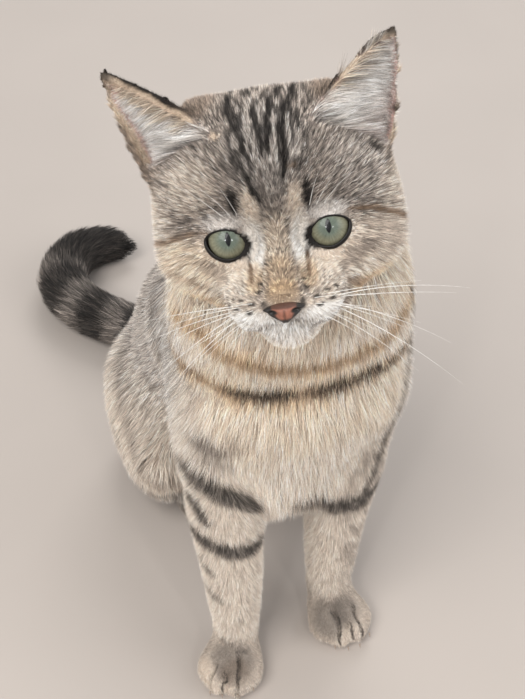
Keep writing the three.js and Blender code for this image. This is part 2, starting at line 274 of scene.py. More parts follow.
PARTS = list(Part)
FACE_PARTS = (Part.HEAD, Part.MUZZLE, Part.JAW)
HEAD_PARTS = (*FACE_PARTS, Part.EAR)


TAIL_LINE = (                    # mm, from the rump to the tip along the middle of the tail
    (9, 54, 30), (-5, 90, 20), (-27, 120, 17), (-47, 140, 17), (-62, 163, 18),
    (-64, 188, 18), (-51, 211, 17), (-29, 221, 15), (-1, 214, 12),
)


@dataclass(frozen=True)
class Ear:
    """One ear in the head's frame, in mm."""

    side: int
    rim: Line                    # the warm edge, from the tip to the crown
    foot: Line                   # the lower end of the cup, outwards
    edge: Line                   # the outer edge, upwards
    floor: float                 # how far back the cup reaches
    warm: float                  # half width of the warm edge
    sweep: tuple[float, float]   # slope of the hair across the cup, at its foot and its tip
    spots: Line                  # small dark spots

    @property
    def rise(self) -> Array:
        """The way from the foot of the ear to its tip."""
        return unit(np.subtract(self.rim[0], np.mean(self.foot, axis=0)))

    @property
    def loop(self) -> Array:
        """The closed line round the opening of the cup."""
        return np.array(self.rim + self.foot + self.edge + self.rim[:1], float)

    def inside(self, places: Array) -> Array:
        """How far inside the opening places lie, seen from the front. Less than 0 is outside.

        Args:
            places: Places in the head's frame, in mm.

        Returns:
            The distance of each place from the edge of the opening, in mm.
        """
        flat, loop = places[:, ::2], self.loop[:, ::2]
        gap, _ = near_line(flat, loop)
        odd = np.zeros(len(flat), bool)
        for (x, z), (next_x, next_z) in zip(loop[:-1], loop[1:]):
            if z != next_z:
                crossing = x + (flat[:, 1] - z) / (next_z - z) * (next_x - x)
                odd ^= ((z > flat[:, 1]) != (next_z > flat[:, 1])) & (flat[:, 0] < crossing)
        return np.where(odd, gap, -gap)

    def mouth_depth(self, places: Array) -> Array:
        """How far back the edge of the cup lies beside each place.

        Args:
            places: Places in the head's frame, in mm.

        Returns:
            The y of the edge beside each place, in mm.
        """
        gaps = np.linalg.norm(places[:, None, ::2] - self.loop[None, :, ::2], axis=2)
        weights = np.exp(-((gaps / 6) ** 2)) + 1e-9
        return weights @ self.loop[:, 1] / weights.sum(axis=1)


EARS = (
    Ear(RIGHT,
        ((-66, 27, 73), (-56, 29, 67), (-47, 28, 61), (-39, 29, 55), (-33, 25, 50),
         (-27, 17, 47), (-21, 12, 44)),
        ((-25, 12, 42), (-32, 15, 39), (-39, 19, 36), (-46, 25, 32), (-51, 30, 29)),
        ((-52, 31, 35), (-54, 31, 41), (-56, 31, 47), (-59, 30, 54), (-63, 28, 62)),
        30.0, 1.9, (-0.42, -0.35), ()),
    Ear(LEFT,
        ((59, 26, 74), (50, 26, 72), (43, 26, 66), (36, 25, 61), (30, 25, 55), (24, 20, 50),
         (19, 12, 46)),
        ((22, 10, 42), (29, 13, 39), (36, 15, 36), (43, 17, 31), (49, 25, 26)),
        ((52, 24, 31), (54, 24, 36), (56, 25, 43), (58, 25, 50), (59, 25, 58), (60, 26, 66)),
        26.0, 1.2, (-0.45, 0.25), ((56, 25, 43), (47, 20, 29), (44, 19, 30), (25, 17, 45))),
)


# ---------------- selection and pieces


def deselect_all() -> None:
    """Leaves no object selected."""
    bpy.ops.object.select_all(action="DESELECT")


def make_active(piece: Piece) -> None:
    """Selects one object alone and makes it the active one.

    Args:
        piece: The object.
    """
    deselect_all()
    piece.select_set(True)
    bpy.context.view_layer.objects.active = piece


def place_in_scene(name: str, mesh: Mesh) -> Piece:
    """Makes an object of a mesh and puts it in the scene.

    Args:
        name: The object's name.
        mesh: Its mesh.

    Returns:
        The object.
    """
    piece = bpy.data.objects.new(name, mesh)
    bpy.context.scene.collection.objects.link(piece)
    return piece


def join_pieces(pieces: list[Piece], name: str) -> Piece:
    """Joins objects into one and names it.

    Args:
        pieces: The objects.
        name: The name of the joined one.

    Returns:
        The joined object.
    """
    make_active(pieces[0])
    for piece in pieces:
        piece.select_set(True)
    bpy.ops.object.join()
    pieces[0].name = pieces[0].data.name = name
    return pieces[0]


def edit_all(operator: Callable[..., object], **settings: object) -> None:
    """Runs an operator of edit mode on all of the active mesh.

    Args:
        operator: The operator, such as a subdivision.
        settings: Its settings, by name.
    """
    bpy.ops.object.mode_set(mode="EDIT")
    bpy.ops.mesh.select_all(action="SELECT")
    operator(**settings)
    bpy.ops.object.mode_set(mode="OBJECT")


def apply_modifier(piece: Piece, kind: str, **settings: object) -> None:
    """Adds a modifier, sets it and applies it.

    Args:
        piece: The object.
        kind: The modifier's type.
        settings: Its settings, by name.
    """
    make_active(piece)
    modifier = piece.modifiers.new(kind.title(), kind)
    for name, value in settings.items():
        setattr(modifier, name, value)
    bpy.ops.object.modifier_apply(modifier=modifier.name)


def read_points(mesh: Mesh) -> Array:
    """The places of a mesh's vertices, one in a row.

    Args:
        mesh: The mesh.

    Returns:
        The places, in metres.
    """
    flat = np.empty(len(mesh.vertices) * 3)
    mesh.vertices.foreach_get("co", flat)
    return flat.reshape(-1, 3)


def write_points(mesh: Mesh, points: Array) -> None:
    """Moves a mesh's vertices to new places."""
    mesh.vertices.foreach_set("co", np.ascontiguousarray(points, float).ravel())
    mesh.update()


def read_ints(items: object, name: str, each: int) -> Array:
    """Reads whole numbers from a Blender collection.

    Args:
        items: The collection, such as a mesh's edges.
        name: What is read of each item.
        each: How many numbers an item has.

    Returns:
        The numbers, one item in a row.
    """
    flat = np.empty(len(items) * each, np.int32)
    items.foreach_get(name, flat)
    return flat.reshape(-1, each)


def paint(mesh: Mesh, colours: Array) -> None:
    """Stores one colour for each vertex of a mesh.

    Args:
        mesh: The mesh.
        colours: A linear colour for each vertex.
    """
    layer = mesh.attributes.new(COLOUR_LAYER, "FLOAT_COLOR", "POINT")
    with_alpha = np.ones((len(colours), 4), np.float32)
    with_alpha[:, :3] = np.clip(colours, 0, 1)
    layer.data.foreach_set("color", with_alpha.ravel())


def finish_piece(piece: Piece, slot: str, *replaced: str) -> Piece:
    """Lets a piece ride on the body and hides the nodes it stands for.

    Args:
        piece: The finished object.
        slot: Not used.
        replaced: The CAD nodes that it replaces.

    Returns:
        The piece.
    """
    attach(piece, BODY)
    if replaced:
        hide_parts(*replaced)
    triangles = sum(len(face.vertices) - 2 for face in piece.data.polygons)
    log.info("%s: %d triangles", piece.name, triangles)
    return piece


# ---------------- the skin


@dataclass(frozen=True)
class EyeOpening:
    """The opening between the lids of one eye, in the head's frame, in mm."""

    side: int
    apart: float = 42.6          # from the middle of one eye to the other
    depth: float = 9.2           # of the eyeball's middle behind the lids
    radius: float = 10.5         # of the eyeball
    outer: float = 8.9           # half width towards the cheek
    inner: float = 8.8           # half width towards the nose
    upper: float = 5.9           # half height of the upper lid's arch
    lower: float = 6.4           # half height of the lower lid's arch
    slant: float = 14.0          # degrees, the outer corner is the higher one
    fullness: float = 1.8        # 2 is an ellipse, less is more pointed

    @property
    def centre(self) -> Array:
        """The middle of the eyeball."""
        return np.array([self.side * self.apart / 2, self.depth, 0.0])

    def spread(self, points: Array) -> Array:
        """Measures places against the opening.

        Args:
            points: Places in the head's frame, in mm.

        Returns:
            0 at the middle of the opening, 1 on its edge and more outside it.
        """
        away = points - self.centre
        slant = math.radians(self.slant)
        out = self.side * away[:, 0] * math.cos(slant) + away[:, 2] * math.sin(slant)
        rise = away[:, 2] * math.cos(slant) - self.side * away[:, 0] * math.sin(slant)
        across = np.abs(out) / np.where(out > 0, self.outer, self.inner)
        along = np.abs(rise) / np.where(rise > 0, self.upper, self.lower)
        return (across**self.fullness + along**self.fullness) ** (1 / self.fullness)

    def gap(self, points: Array) -> Array:
        """How far outside the opening places lie, in mm. Less than 0 is inside.

        Args:
            points: Places in the head's frame, in mm.

        Returns:
            The gap of each place.
        """
        away = points - self.centre
        spread = np.maximum(self.spread(points), 0.05)
        return np.hypot(away[:, 0], away[:, 2]) * (1 - 1 / spread)

    def edge(self, angles: Array, grow: float = 0.0, out: float = 0.0) -> Array:
        """Places on the edge of the opening, on the eyeball.

        Args:
            angles: Angles round the opening in radians, 0 at the outer corner.
            grow: How far outside the edge, in mm.
            out: How far off the eyeball, in mm.

        Returns:
            Places in the head's frame, in mm.
        """
        cosine, sine = np.cos(angles), np.sin(angles)
        width = np.where(cosine > 0, self.outer, self.inner)
        height = np.where(sine > 0, self.upper, self.lower)
        size = (np.abs(cosine) ** self.fullness + np.abs(sine) ** self.fullness)
        size = size ** (-1 / self.fullness)
        across, along = cosine * size * (width + grow), sine * size * (height + grow)
        slant = math.radians(self.slant)
        x = across * math.cos(slant) - along * math.sin(slant)
        z = across * math.sin(slant) + along * math.cos(slant)
        radius = self.radius + out
        y = -np.sqrt(np.maximum(radius**2 - x**2 - z**2, (0.25 * radius) ** 2))
        return self.centre + np.stack([self.side * x, y, z], axis=1)


@dataclass(frozen=True)
class Swell:
    """A place where the coat stands out fuller than the solids, in mm."""

    centre: Place
    reach: Place
    height: float

    def rise(self, places: Array) -> Array:
        """How far the coat stands out at each place."""
        away = (places - self.centre) / self.reach
        return self.height * np.exp(-np.sum(away**2, axis=1))


SWELLS = (
    Swell((68, -132, 190), (36, 46, 62), 8.5),     # left side of the breast
    Swell((-50, -100, 215), (28, 42, 44), 4.5),    # right side of the throat
)


@dataclass
class Skin:
    """One closed skin over all the flesh, inside the solids by the depth of the coat."""

    head: HeadFrame
    eyes: tuple[EyeOpening, EyeOpening]
    voxel: float = 2.3           # mm, grain of the skin
    smoothing_share: float = 0.55    # of the rounds of the parts, for this grain
    swell: float = 0.45          # mm that the pieces grow so that their cuts close
    merge_distance: float = 0.01     # mm
    eyelid_ball: float = 12.1    # mm, radius of the closed lid that the opening is cut in
    inset_rounds: int = 6
    marked_height: float = 0.8   # share of the coat's depth where its markings are seen
    field_rounds: int = 26       # rounds that blend the lie of the coat between parts
    lid_thickness: float = 0.8   # mm
    behind_lids: float = 2.2     # mm that the skin lies behind the front of the eyeball
    mouth_depth: float = 1.1     # mm
    mouth_width: float = 1.1     # mm
    rim_fold: float = 2.2        # mm that the inner rim of an ear stands up
    toe_depth: float = 3.2       # mm that the clefts between the toes go in
    toe_width: float = 1.5       # mm
    nose_tip: Place = (0.0, -33.0, -23.5)
    piece: Piece | None = None
    points: Array = field(default_factory=lambda: np.empty((0, 3)))

    FINE_FACE: ClassVar = ((0, -4, -2), (44, 32, 44))    # mm, middle and reach on the head
    FINE_NODES: ClassVar = ("forepaw_right", "forepaw_left", "ear_right", "ear_left")
    TOE_CLEFTS: ClassVar = (                       # mm, in the frame of the part
        ((-45, -174, 18), (-49, -178, 14), (-51, -181, 7)),
        ((-40, -180, 16), (-42, -184, 12), (-43, -186, 5)),
        ((-30, -173, 21), (-31, -180, 18), (-35, -187, 14), (-37, -190, 8)),
        ((30, -158, 20), (31, -166, 17), (30, -173, 11), (30, -175, 6)),
        ((37, -166, 15), (38, -172, 11), (38, -175, 5)),
        ((43, -157, 19), (44, -166, 16), (45, -172, 9), (45, -173, 5)),
    )
    MOUTH: ClassVar = (                            # mm, in the head's frame
        ((0, -29, -28), (0, -22, -33)),
        ((0, -21, -34), (7, -22, -34), (13, -23, -31.5), (18, -20, -28.5), (24, -6, -28)),
        ((0, -21, -34), (-7, -22, -34), (-13, -23, -31.5), (-18, -20, -28.5), (-24, -6, -28)),
    )

    @property
    def flesh(self) -> list[str]:
        """The CAD nodes that the skin stands for."""
        return sorted(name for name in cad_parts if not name.startswith(("eye_", "nose")))

    def build(self) -> None:
        """Joins the flesh, rounds it, sets it back by the depth of the coat and shapes the face."""
        surface, owners = self.flesh_surface()
        self.piece = self.join_flesh()
        self.read_mesh()
        nearest = [surface.find_nearest(Vector(point))[2] for point in self.points]
        self.part = np.array(owners)[nearest]
        self.blend_parts()
        self.relax_points(self.table("smoothing") * self.smoothing_share)
        self.outline = self.points.copy()
        self.set_back()
        self.shape_muzzle()
        self.hollow_ears()
        self.open_eyes()
        self.carve_clefts()
        self.update_normals()
        self.find_traits()
        write_points(self.piece.data, self.points)

    def flesh_surface(self) -> tuple[BVHTree, list[int]]:
        """The triangles of the flesh as they are in the solids.

        Returns:
            A tree of the triangles, and the number of each one's part.
        """
        corners, faces, owners = [], [], []
        for name in self.flesh:
            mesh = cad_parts[name].data
            start = len(corners)
            corners.extend(vertex.co.copy() for vertex in mesh.vertices)
            faces.extend([start + i for i in face.vertices] for face in mesh.polygons)
            owners.extend([PARTS.index(Part.of(name))] * len(mesh.polygons))
        return BVHTree.FromPolygons(corners, faces), owners

    def join_flesh(self) -> Piece:
        """Joins copies of the flesh into one closed mesh without seams.

        Returns:
            The joined object.
        """
        forms = [place_in_scene(f"{name}_form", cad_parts[name].data.copy())
                 for name in self.flesh]
        for eye in self.eyes:
            place = self.head.leave(eye.centre)
            bpy.ops.mesh.primitive_uv_sphere_add(segments=48, ring_count=24, location=place,
                                                 radius=self.eyelid_ball * MM)
            forms.append(bpy.context.object)
        piece = join_pieces(forms[::-1], "skin")
        bpy.ops.object.transform_apply()
        piece.data.materials.clear()
        edit_all(bpy.ops.mesh.remove_doubles, threshold=self.merge_distance * MM)
        apply_modifier(piece, "DISPLACE", strength=self.swell * MM, mid_level=0.0)
        apply_modifier(piece, "REMESH", mode="VOXEL", voxel_size=self.voxel * MM)
        edit_all(bpy.ops.mesh.separate, type="LOOSE")
        shells = sorted(bpy.context.selected_objects, key=lambda o: len(o.data.vertices))
        for scrap in shells[:-1]:
            bpy.data.objects.remove(scrap)
        shells[-1].name = shells[-1].data.name = "skin"
        self.refine_face(shells[-1])
        return shells[-1]

    def refine_face(self, piece: Piece) -> None:
        """Halves the grain of the skin on the face, the ears and the forepaws.

        Args:
            piece: The joined flesh.
        """
        mesh = piece.data
        middles = np.empty(len(mesh.polygons) * 3)
        mesh.polygons.foreach_get("center", middles)
        middles = middles.reshape(-1, 3)
        face = self.head.enter(middles)
        chosen = np.all(np.abs(face - self.FINE_FACE[0]) < self.FINE_FACE[1], axis=1)
        for name in self.FINE_NODES:
            low, high = (np.array(corner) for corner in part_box(name))
            chosen |= np.all((middles > low) & (middles < high), axis=1)
        make_active(piece)
        bpy.ops.object.mode_set(mode="EDIT")
        bpy.ops.mesh.select_mode(type="FACE")
        bpy.ops.mesh.select_all(action="DESELECT")
        bpy.ops.object.mode_set(mode="OBJECT")
        mesh.polygons.foreach_set("select", chosen)
        bpy.ops.object.mode_set(mode="EDIT")
        bpy.ops.mesh.subdivide(number_cuts=1)
        bpy.ops.object.mode_set(mode="OBJECT")

    def read_mesh(self) -> None:
        """Reads the places, edges and triangles of the joined mesh."""
        mesh = self.piece.data
        mesh.calc_loop_triangles()
        self.points = read_points(mesh)
        self.edges = read_ints(mesh.edges, "vertices", 2)
        self.triangles = read_ints(mesh.loop_triangles, "vertices", 3)
        self.links = np.bincount(self.edges.ravel(), minlength=len(self.points)).clip(1)
        self.update_normals()

    def update_normals(self) -> None:
        """Works out the direction that the skin faces at each vertex."""
        a, b, c = (self.points[self.triangles[:, i]] for i in range(3))
        across = np.cross(b - a, c - a)
        total = np.zeros_like(self.points)
        for corner, axis in np.ndindex(3, 3):
            total[:, axis] += np.bincount(self.triangles[:, corner], across[:, axis],
                                          len(self.points))
        self.normals = unit(total)

    def relax(self, values: Array, rounds: int, share: float = 0.6) -> Array:
        """Evens out values over the skin.

        Args:
            values: One row or number for each vertex.
            rounds: How often.
            share: How far each round goes towards the neighbours' mean.

        Returns:
            The evened values.
        """
        values = values.copy()
        for _ in range(rounds):
            values += share * (self.neighbours_mean(values) - values)
        return values

    def neighbours_mean(self, values: Array) -> Array:
        """The mean of each vertex's neighbours.

        Args:
            values: One row or number for each vertex.

        Returns:
            The means, in the same shape.
        """
        columns = values.reshape(len(values), -1)
        first, second = self.edges[:, 0], self.edges[:, 1]
        mean = np.empty_like(columns)
        for i in range(columns.shape[1]):
            total = np.bincount(first, columns[second, i], len(columns))
            total += np.bincount(second, columns[first, i], len(columns))
            mean[:, i] = total / self.links
        return mean.reshape(values.shape)

    def relax_points(self, rounds: Array) -> None:
        """Softens the skin, each vertex for its own number of rounds, without shrinking it much.

        Args:
            rounds: The number of rounds of each vertex.
        """
        for number in range(int(rounds.max())):
            share = 0.6 * np.clip(rounds - number, 0, 1)[:, None]
            self.points += share * (self.neighbours_mean(self.points) - self.points)
        self.update_normals()

    def marked_points(self) -> Array:
        """The places over the skin, near the tips of the coat, where its markings are seen."""
        return self.points + self.normals * (self.depth * self.marked_height * MM)[:, None]

    def marked_surface(self) -> BVHTree:
        """The surface near the tips of the coat."""
        corners = [Vector(point) for point in self.marked_points()]
        return BVHTree.FromPolygons(corners, self.triangles.tolist(), all_triangles=True)

    def table(self, name: str) -> Array:
        """Looks up one value of the coat's lie for each vertex, blended between parts."""
        values = np.array([getattr(part.value, name) for part in PARTS], float)
        return self.shares @ values

    def on(self, *parts: Part) -> Array:
        """Which vertices belong to any of some parts."""
        return np.isin(self.part, [PARTS.index(part) for part in parts])

    def share_in(self, *parts: Part) -> Array:
        """Each vertex's share in some parts together."""
        return self.shares[:, [PARTS.index(part) for part in parts]].sum(axis=1)

    def blend_parts(self) -> None:
        """Gives each vertex its share in every part, so that one part runs into the next."""
        own = np.eye(len(PARTS))[self.part]
        self.shares = self.relax(own, self.field_rounds, 0.8)

    def set_back(self) -> None:
        """Moves the skin in from the outline by the depth of the coat, a little at a time."""
        self.depth = self.coat_depth()
        swollen = sum(swell.rise(self.outline / MM) for swell in SWELLS)
        inset = (self.depth - swollen) * MM / self.inset_rounds
        for _ in range(self.inset_rounds):
            step = self.normals * inset[:, None]
            self.points -= step
            self.points = self.relax(self.points, 1, 0.25)
            self.update_normals()

    def coat_depth(self) -> Array:
        """The depth of the coat at each vertex, in mm.

        Returns:
            The depths.
        """
        depth = self.table("depth")
        place = self.head.enter(self.outline)
        on_head = self.share_in(*FACE_PARTS)
        ruff = ease(26, 50, np.abs(place[:, 0])) * ease(12, -25, place[:, 2])
        ruff *= ease(-20, 5, place[:, 1])
        self.ruff = ruff * on_head
        depth += 4.0 * self.ruff
        for eye in self.eyes:
            near = ease(15.5, 10.0, np.linalg.norm(place - eye.centre, axis=1))
            depth = depth * (1 - near) + 0.6 * near
        at_nose = ease(14, 6, np.linalg.norm(place - self.nose_tip, axis=1))
        depth = depth * (1 - at_nose) + 0.6 * at_nose
        tip_gap = np.linalg.norm(self.outline / MM - TAIL_LINE[-1], axis=1)
        return depth * (1 - 0.45 * ease(30, 8, tip_gap))

    def open_eyes(self) -> None:
        """Lays the lids on the eyeballs and takes the skin behind them in the openings."""
        place = self.head.enter(self.points)
        self.bare = np.zeros(len(place))
        for eye in self.eyes:
            away = place - eye.centre
            radius = np.linalg.norm(away, axis=1)
            gap = eye.gap(place)
            front = ease(-1.0, -4.0, away[:, 1]) * ease(20, 15, radius)
            lid = eye.radius + self.lid_thickness
            free = ease(0.3, 3.6, gap)
            outside = (1 - free) * np.maximum(lid, np.minimum(radius, lid + 0.5)) + free * radius
            outside = np.maximum(outside, lid)
            inside = np.full(len(place), eye.radius - self.behind_lids)
            wanted = np.where(gap < 0, inside, outside)
            wanted = front * wanted + (1 - front) * radius
            place = eye.centre + away * (wanted / np.maximum(radius, 1e-6))[:, None]
            self.bare = np.maximum(self.bare, (gap < 0.7) * front)
        self.points = self.head.leave(place)

    def shape_muzzle(self) -> None:
        """Widens the whisker pads and draws the chin back under them."""
        place = self.head.enter(self.points)
        for side in (RIGHT, LEFT):
            pad = np.array([side * 15.0, -18.0, -26.0])
            near = np.exp(-np.sum(((place - pad) / (9, 12, 8)) ** 2, axis=1))
            place += near[:, None] * np.array([side * 2.4, 1.2, 1.0])
        chin = np.exp(-np.sum(((place - (0, -12, -40)) / (14, 14, 8)) ** 2, axis=1))
        place += chin[:, None] * np.array([0, 2.5, 1.5])
        self.points = self.head.leave(place)

    def hollow_ears(self) -> None:
        """Hollows the cups of the ears down to the skull and folds their inner rims up."""
        place = self.head.enter(self.points)
        facing = self.normals @ self.head.axes
        moved = np.zeros(len(place))
        for ear in EARS:
            inside = ear.inside(place)
            near = np.flatnonzero((inside > 0) & (facing[:, 1] < 0.3))
            edge = ear.mouth_depth(place[near])
            bowl = np.minimum(edge + 2.4 * inside[near], ear.floor)
            near, bowl = near[place[near, 1] > edge - 12], bowl[place[near, 1] > edge - 12]
            place[near, 1] = np.maximum(place[near, 1], bowl)
            moved[near] = 1
            gap, _ = near_line(place, np.array(ear.rim, float))
            place += facing * (self.rim_fold * np.exp(-((gap / 1.8) ** 2)))[:, None]
        self.points = self.head.leave(place)
        self.relax_points(3.0 * self.relax(moved, 2))

    def carve_clefts(self) -> None:
        """Presses the line of the mouth and the clefts between the toes into the skin, and keeps
        where they lie as a mask of painted shade.
        """
        place = self.head.enter(self.points)
        mouth = np.min([near_line(place, np.array(line, float))[0] for line in self.MOUTH], axis=0)
        toes = np.min([near_line(self.points / MM, np.array(line, float))[0]
                       for line in self.TOE_CLEFTS], axis=0)
        groove = self.mouth_depth * np.exp(-((mouth / self.mouth_width) ** 2))
        groove += self.toe_depth * np.exp(-((toes / self.toe_width) ** 2))
        # the mask of painted shade in the mouth groove and the clefts between the toes
        self.crease_shade = np.maximum(0.5 * ease(1.5, 0.4, mouth), ease(1.5, 0.4, toes))
        self.points -= self.normals * (groove * MM)[:, None]

    def find_traits(self) -> None:
        """Finds the insides and rims of the ears, and where the coat is bare, short or long."""
        place = self.head.enter(self.points)
        facing = self.normals @ self.head.axes
        on_ear = self.on(Part.EAR).astype(float)
        inner, warm, black, outer, beside = (np.zeros(len(place)) for _ in range(5))
        inner_length = np.ones(len(place))
        base = self.table("length")
        for ear in EARS:
            inside = ear.inside(place)
            own = (facing[:, 1] < 0.35) & (place[:, 1] < ear.floor + 6)
            own = own * ease(0.0, 1.2, inside)
            gap, share = near_line(place, np.array(ear.rim, float))
            to_edge, _ = near_line(place, np.array(ear.edge + ear.rim[:1], float))
            inner = np.maximum(inner, own)
            warm = np.maximum(warm, ease(1.4, 0.9, gap / ear.warm))
            warm = np.maximum(warm, 0.8 * ease(4.0, 2.0, to_edge) * (own < 0.5) * on_ear)
            behind = ease(0.8, 1.1, gap / ear.warm) * ease(8.5, 5.5, gap) * (inside < 0)
            black = np.maximum(black, behind * ease(0.85, 0.5, share) * on_ear)
            outer = np.maximum(outer, own * ease(9, 17, gap) * ease(62, 52, place[:, 2]))
            beside = np.maximum(beside, ease(9, 2.5, gap) * (own < 0.5))
            reach = np.clip(0.8 * to_edge, 2.0, 15.0) / base
            inner_length = np.where(own > 0.5, reach, inner_length)
        self.ears = np.stack([self.relax(inner, 1, 0.5), warm, black, outer], axis=1)
        self.length = inner_length * (1 - 0.6 * beside)
        self.lift = 0.5 * inner * ease(3.0, 7.0, inner_length * base) + 0.35 * black
        cheeks = ease(30, 48, np.abs(place[:, 0])) * ease(30, 5, np.abs(place[:, 2] + 8))
        on_head = self.share_in(Part.HEAD)
        self.lift += 0.22 * cheeks * on_head
        self.length *= 1 + 0.3 * cheeks * on_head
        for eye in self.eyes:
            front = ease(2.0, -2.0, place[:, 1] - eye.depth)
            self.length *= 1 - 0.6 * ease(8.0, 0.8, eye.gap(place)) * front
        at_nose = np.linalg.norm(place - self.nose_tip, axis=1)
        self.length *= 1 - 0.45 * ease(17, 8, at_nose)
        self.length *= 1 + 0.6 * np.clip(self.ruff, 0, 1)
        tail_tip = np.linalg.norm(self.points / MM - TAIL_LINE[-1], axis=1)
        self.length *= 1 - 0.62 * ease(34, 12, tail_tip)
        self.lift += 0.35 * ease(26, 8, tail_tip)
        self.bare = np.maximum(self.bare, ease(7.0, 5.5, at_nose) * (place[:, 2] < -20.5))
        sole = (self.normals[:, 2] < -0.6) & (self.points[:, 2] < 5 * MM)
        self.bare = np.maximum(self.bare, sole)


# ---------------- markings


class Space(Enum):
    """Where the places of a marking are measured."""

    HEAD = "head"                # the head's frame, in mm
    BODY = "body"                # the frame of the whole part, in mm


@dataclass(frozen=True)
class Patch:
    """A soft patch of one tone."""

    tone: Tone
    centre: Place
    reach: Place
    strength: float = 1.0
    space: Space = Space.HEAD
    one_side: bool = False       # on the head, a patch is on both sides otherwise

    def cover(self, places: Array) -> Array:
        """How much of the tone each place takes.

        Args:
            places: Places in the patch's space, in mm.

        Returns:
            A share from 0 to 1 for each place.
        """
        if self.space is Space.HEAD and not self.one_side:
            places = np.column_stack([np.abs(places[:, 0]), places[:, 1:]])
        away = np.linalg.norm((places - self.centre) / self.reach, axis=1)
        return self.strength * ease(1.25, 0.55, away)


@dataclass(frozen=True)
class Stripe:
    """A dark or coloured line of the coat along a bent line."""

    tone: Tone
    line: Line
    width: float                 # mm, half across at its middle
    strength: float = 1.0
    space: Space = Space.HEAD
    taper: float = 0.7           # how thin it is at its ends, 0 for not at all
    broken: float = 0.3          # how far it is broken up by paler hair

    STEP: ClassVar = {Space.HEAD: 2.5, Space.BODY: 5.0}      # mm between its laid corners

    def fine_line(self) -> Array:
        """The line with corners at even steps.

        Returns:
            The corners, one in a row.
        """
        line = np.array(self.line, float)
        along = np.concatenate([[0], np.cumsum(np.linalg.norm(np.diff(line, axis=0), axis=1))])
        number = max(2, math.ceil(along[-1] / self.STEP[self.space]) + 1)
        steps = np.linspace(0, along[-1], number)
        return np.stack([np.interp(steps, along, line[:, i]) for i in range(3)], axis=1)

    def cover(self, places: Array, line: Array) -> Array:
        """How much of the tone each place takes.

        Args:
            places: Places in the stripe's space, in mm.
            line: The line as it is laid on the coat.

        Returns:
            A share from 0 to 1 for each place.
        """
        result = np.zeros(len(places))
        reach = 1.8 * self.width
        low, high = line.min(axis=0) - reach, line.max(axis=0) + reach
        near = np.flatnonzero(np.all((places > low) & (places < high), axis=1))
        if len(near):
            gap, share = near_line(places[near], line)
            rough = 0.5 + 0.6 * mottle(places[near], 2.2 * self.width, 7)
            rough += 0.4 * mottle(places[near], 0.55 * self.width, 8)
            half = self.width * rough * (1 - self.taper * np.abs(2 * share - 1) ** 3)
            broken = 1 - self.broken * ease(0.55, 0.3, mottle(places[near], 1.1, 21))
            result[near] = self.strength * broken * ease(1.35, 0.6, gap / np.maximum(half, 0.05))
        return result


def head_patches() -> list[Patch]:
    """The pale and warm patches of the face.

    Returns:
        The patches, in the order that they are laid.
    """
    silver, grey, brown, cream = Tone.SILVER, Tone.GREY, Tone.BROWN, Tone.CREAM
    sand, ochre, white = Tone.SAND, Tone.OCHRE, Tone.WHITE
    return [
        Patch(silver, (0, 0, 40), (18, 30, 24), 0.3),
        Patch(brown, (30, 34, 56), (11, 16, 9), 0.5),
        Patch(cream, (-36, 6, 26), (14, 18, 12), 0.5, one_side=True),
        # silver on the left temple, painted light where that side lies in shade
        Patch(silver, (38, 10, 24), (16, 18, 16), 0.15, one_side=True),
        Patch(sand, (0, -10, 0), (7, 14, 14), 0.35),
        Patch(ochre, (0, -22, -10), (9, 12, 9), 0.3),
        Patch(ochre, (0, -27, -17), (9, 9, 7), 0.35),
        Patch(cream, (10, -5, 14), (4.4, 12, 11), 0.95),
        # pale fur beside the bridge, made whiter as painted light where the hollow by the eye lies in
        # shade
        Patch(white, (10.5, -6, -1), (4.8, 12, 12), 1.0),
        Patch(sand, (10.5, -6, -1), (5.5, 13, 13), 0.12),
        Patch(silver, (22, -2, 10), (12, 10, 4.5), 0.85),
        Patch(cream, (23, 0, -10), (14, 12, 6), 0.95),
        Patch(cream, (40, 8, -14), (22, 26, 20), 0.75),
        Patch(grey, (46, 10, -6), (14, 22, 10), 0.45, one_side=True),
        Patch(sand, (-42, 8, -10), (16, 24, 14), 0.4, one_side=True),
        Patch(cream, (50, 28, 10), (12, 22, 14), 0.5),
        Patch(ochre, (44, 26, -30), (20, 28, 10), 0.5),
        Patch(cream, (18, -10, -16), (9, 13, 8), 0.55),
        Patch(ochre, (11.5, -12, -13), (4.4, 11, 10), 0.4),
        Patch(cream, (15, -20, -23), (12, 14, 6), 0.6),
        Patch(white, (15, -20, -28), (13, 14, 5), 1.0),
        Patch(white, (0, -16, -38), (14, 18, 9), 0.7),
        Patch(cream, (0, 14, -46), (44, 34, 14), 0.9),
    ]


def body_patches() -> list[Patch]:
    """The dark tops and pale outer toes of the forepaws.

    Returns:
        The patches, in the order that they are laid.
    """
    slate, brown, cream, body = Tone.SLATE, Tone.BROWN, Tone.CREAM, Space.BODY
    return [
        Patch(slate, (-35, -176, 20), (15, 13, 11), 0.5, body),
        Patch(brown, (-35, -181, 15), (10, 9, 9), 0.35, body),
        Patch(cream, (-51, -174, 11), (7, 12, 10), 0.9, body),
        Patch(cream, (-45, -184, 5), (14, 10, 7), 0.6, body),
        Patch(slate, (26, -162, 18), (12, 14, 12), 0.55, body),
        Patch(slate, (38, -160, 21), (10, 11, 8), 0.5, body),
        Patch(cream, (34, -172, 10), (6, 8, 8), 0.45, body),
    ]


PAD_SPOTS = (                    # mm, in the head's frame, on the left whisker pad
    (9, -17, -14), (9.5, -20, -17), (14, -23, -20), (18, -18, -19.5),
    (22, -12, -20), (15, -24, -24), (19, -18.5, -23.5), (23, -10, -24),
)


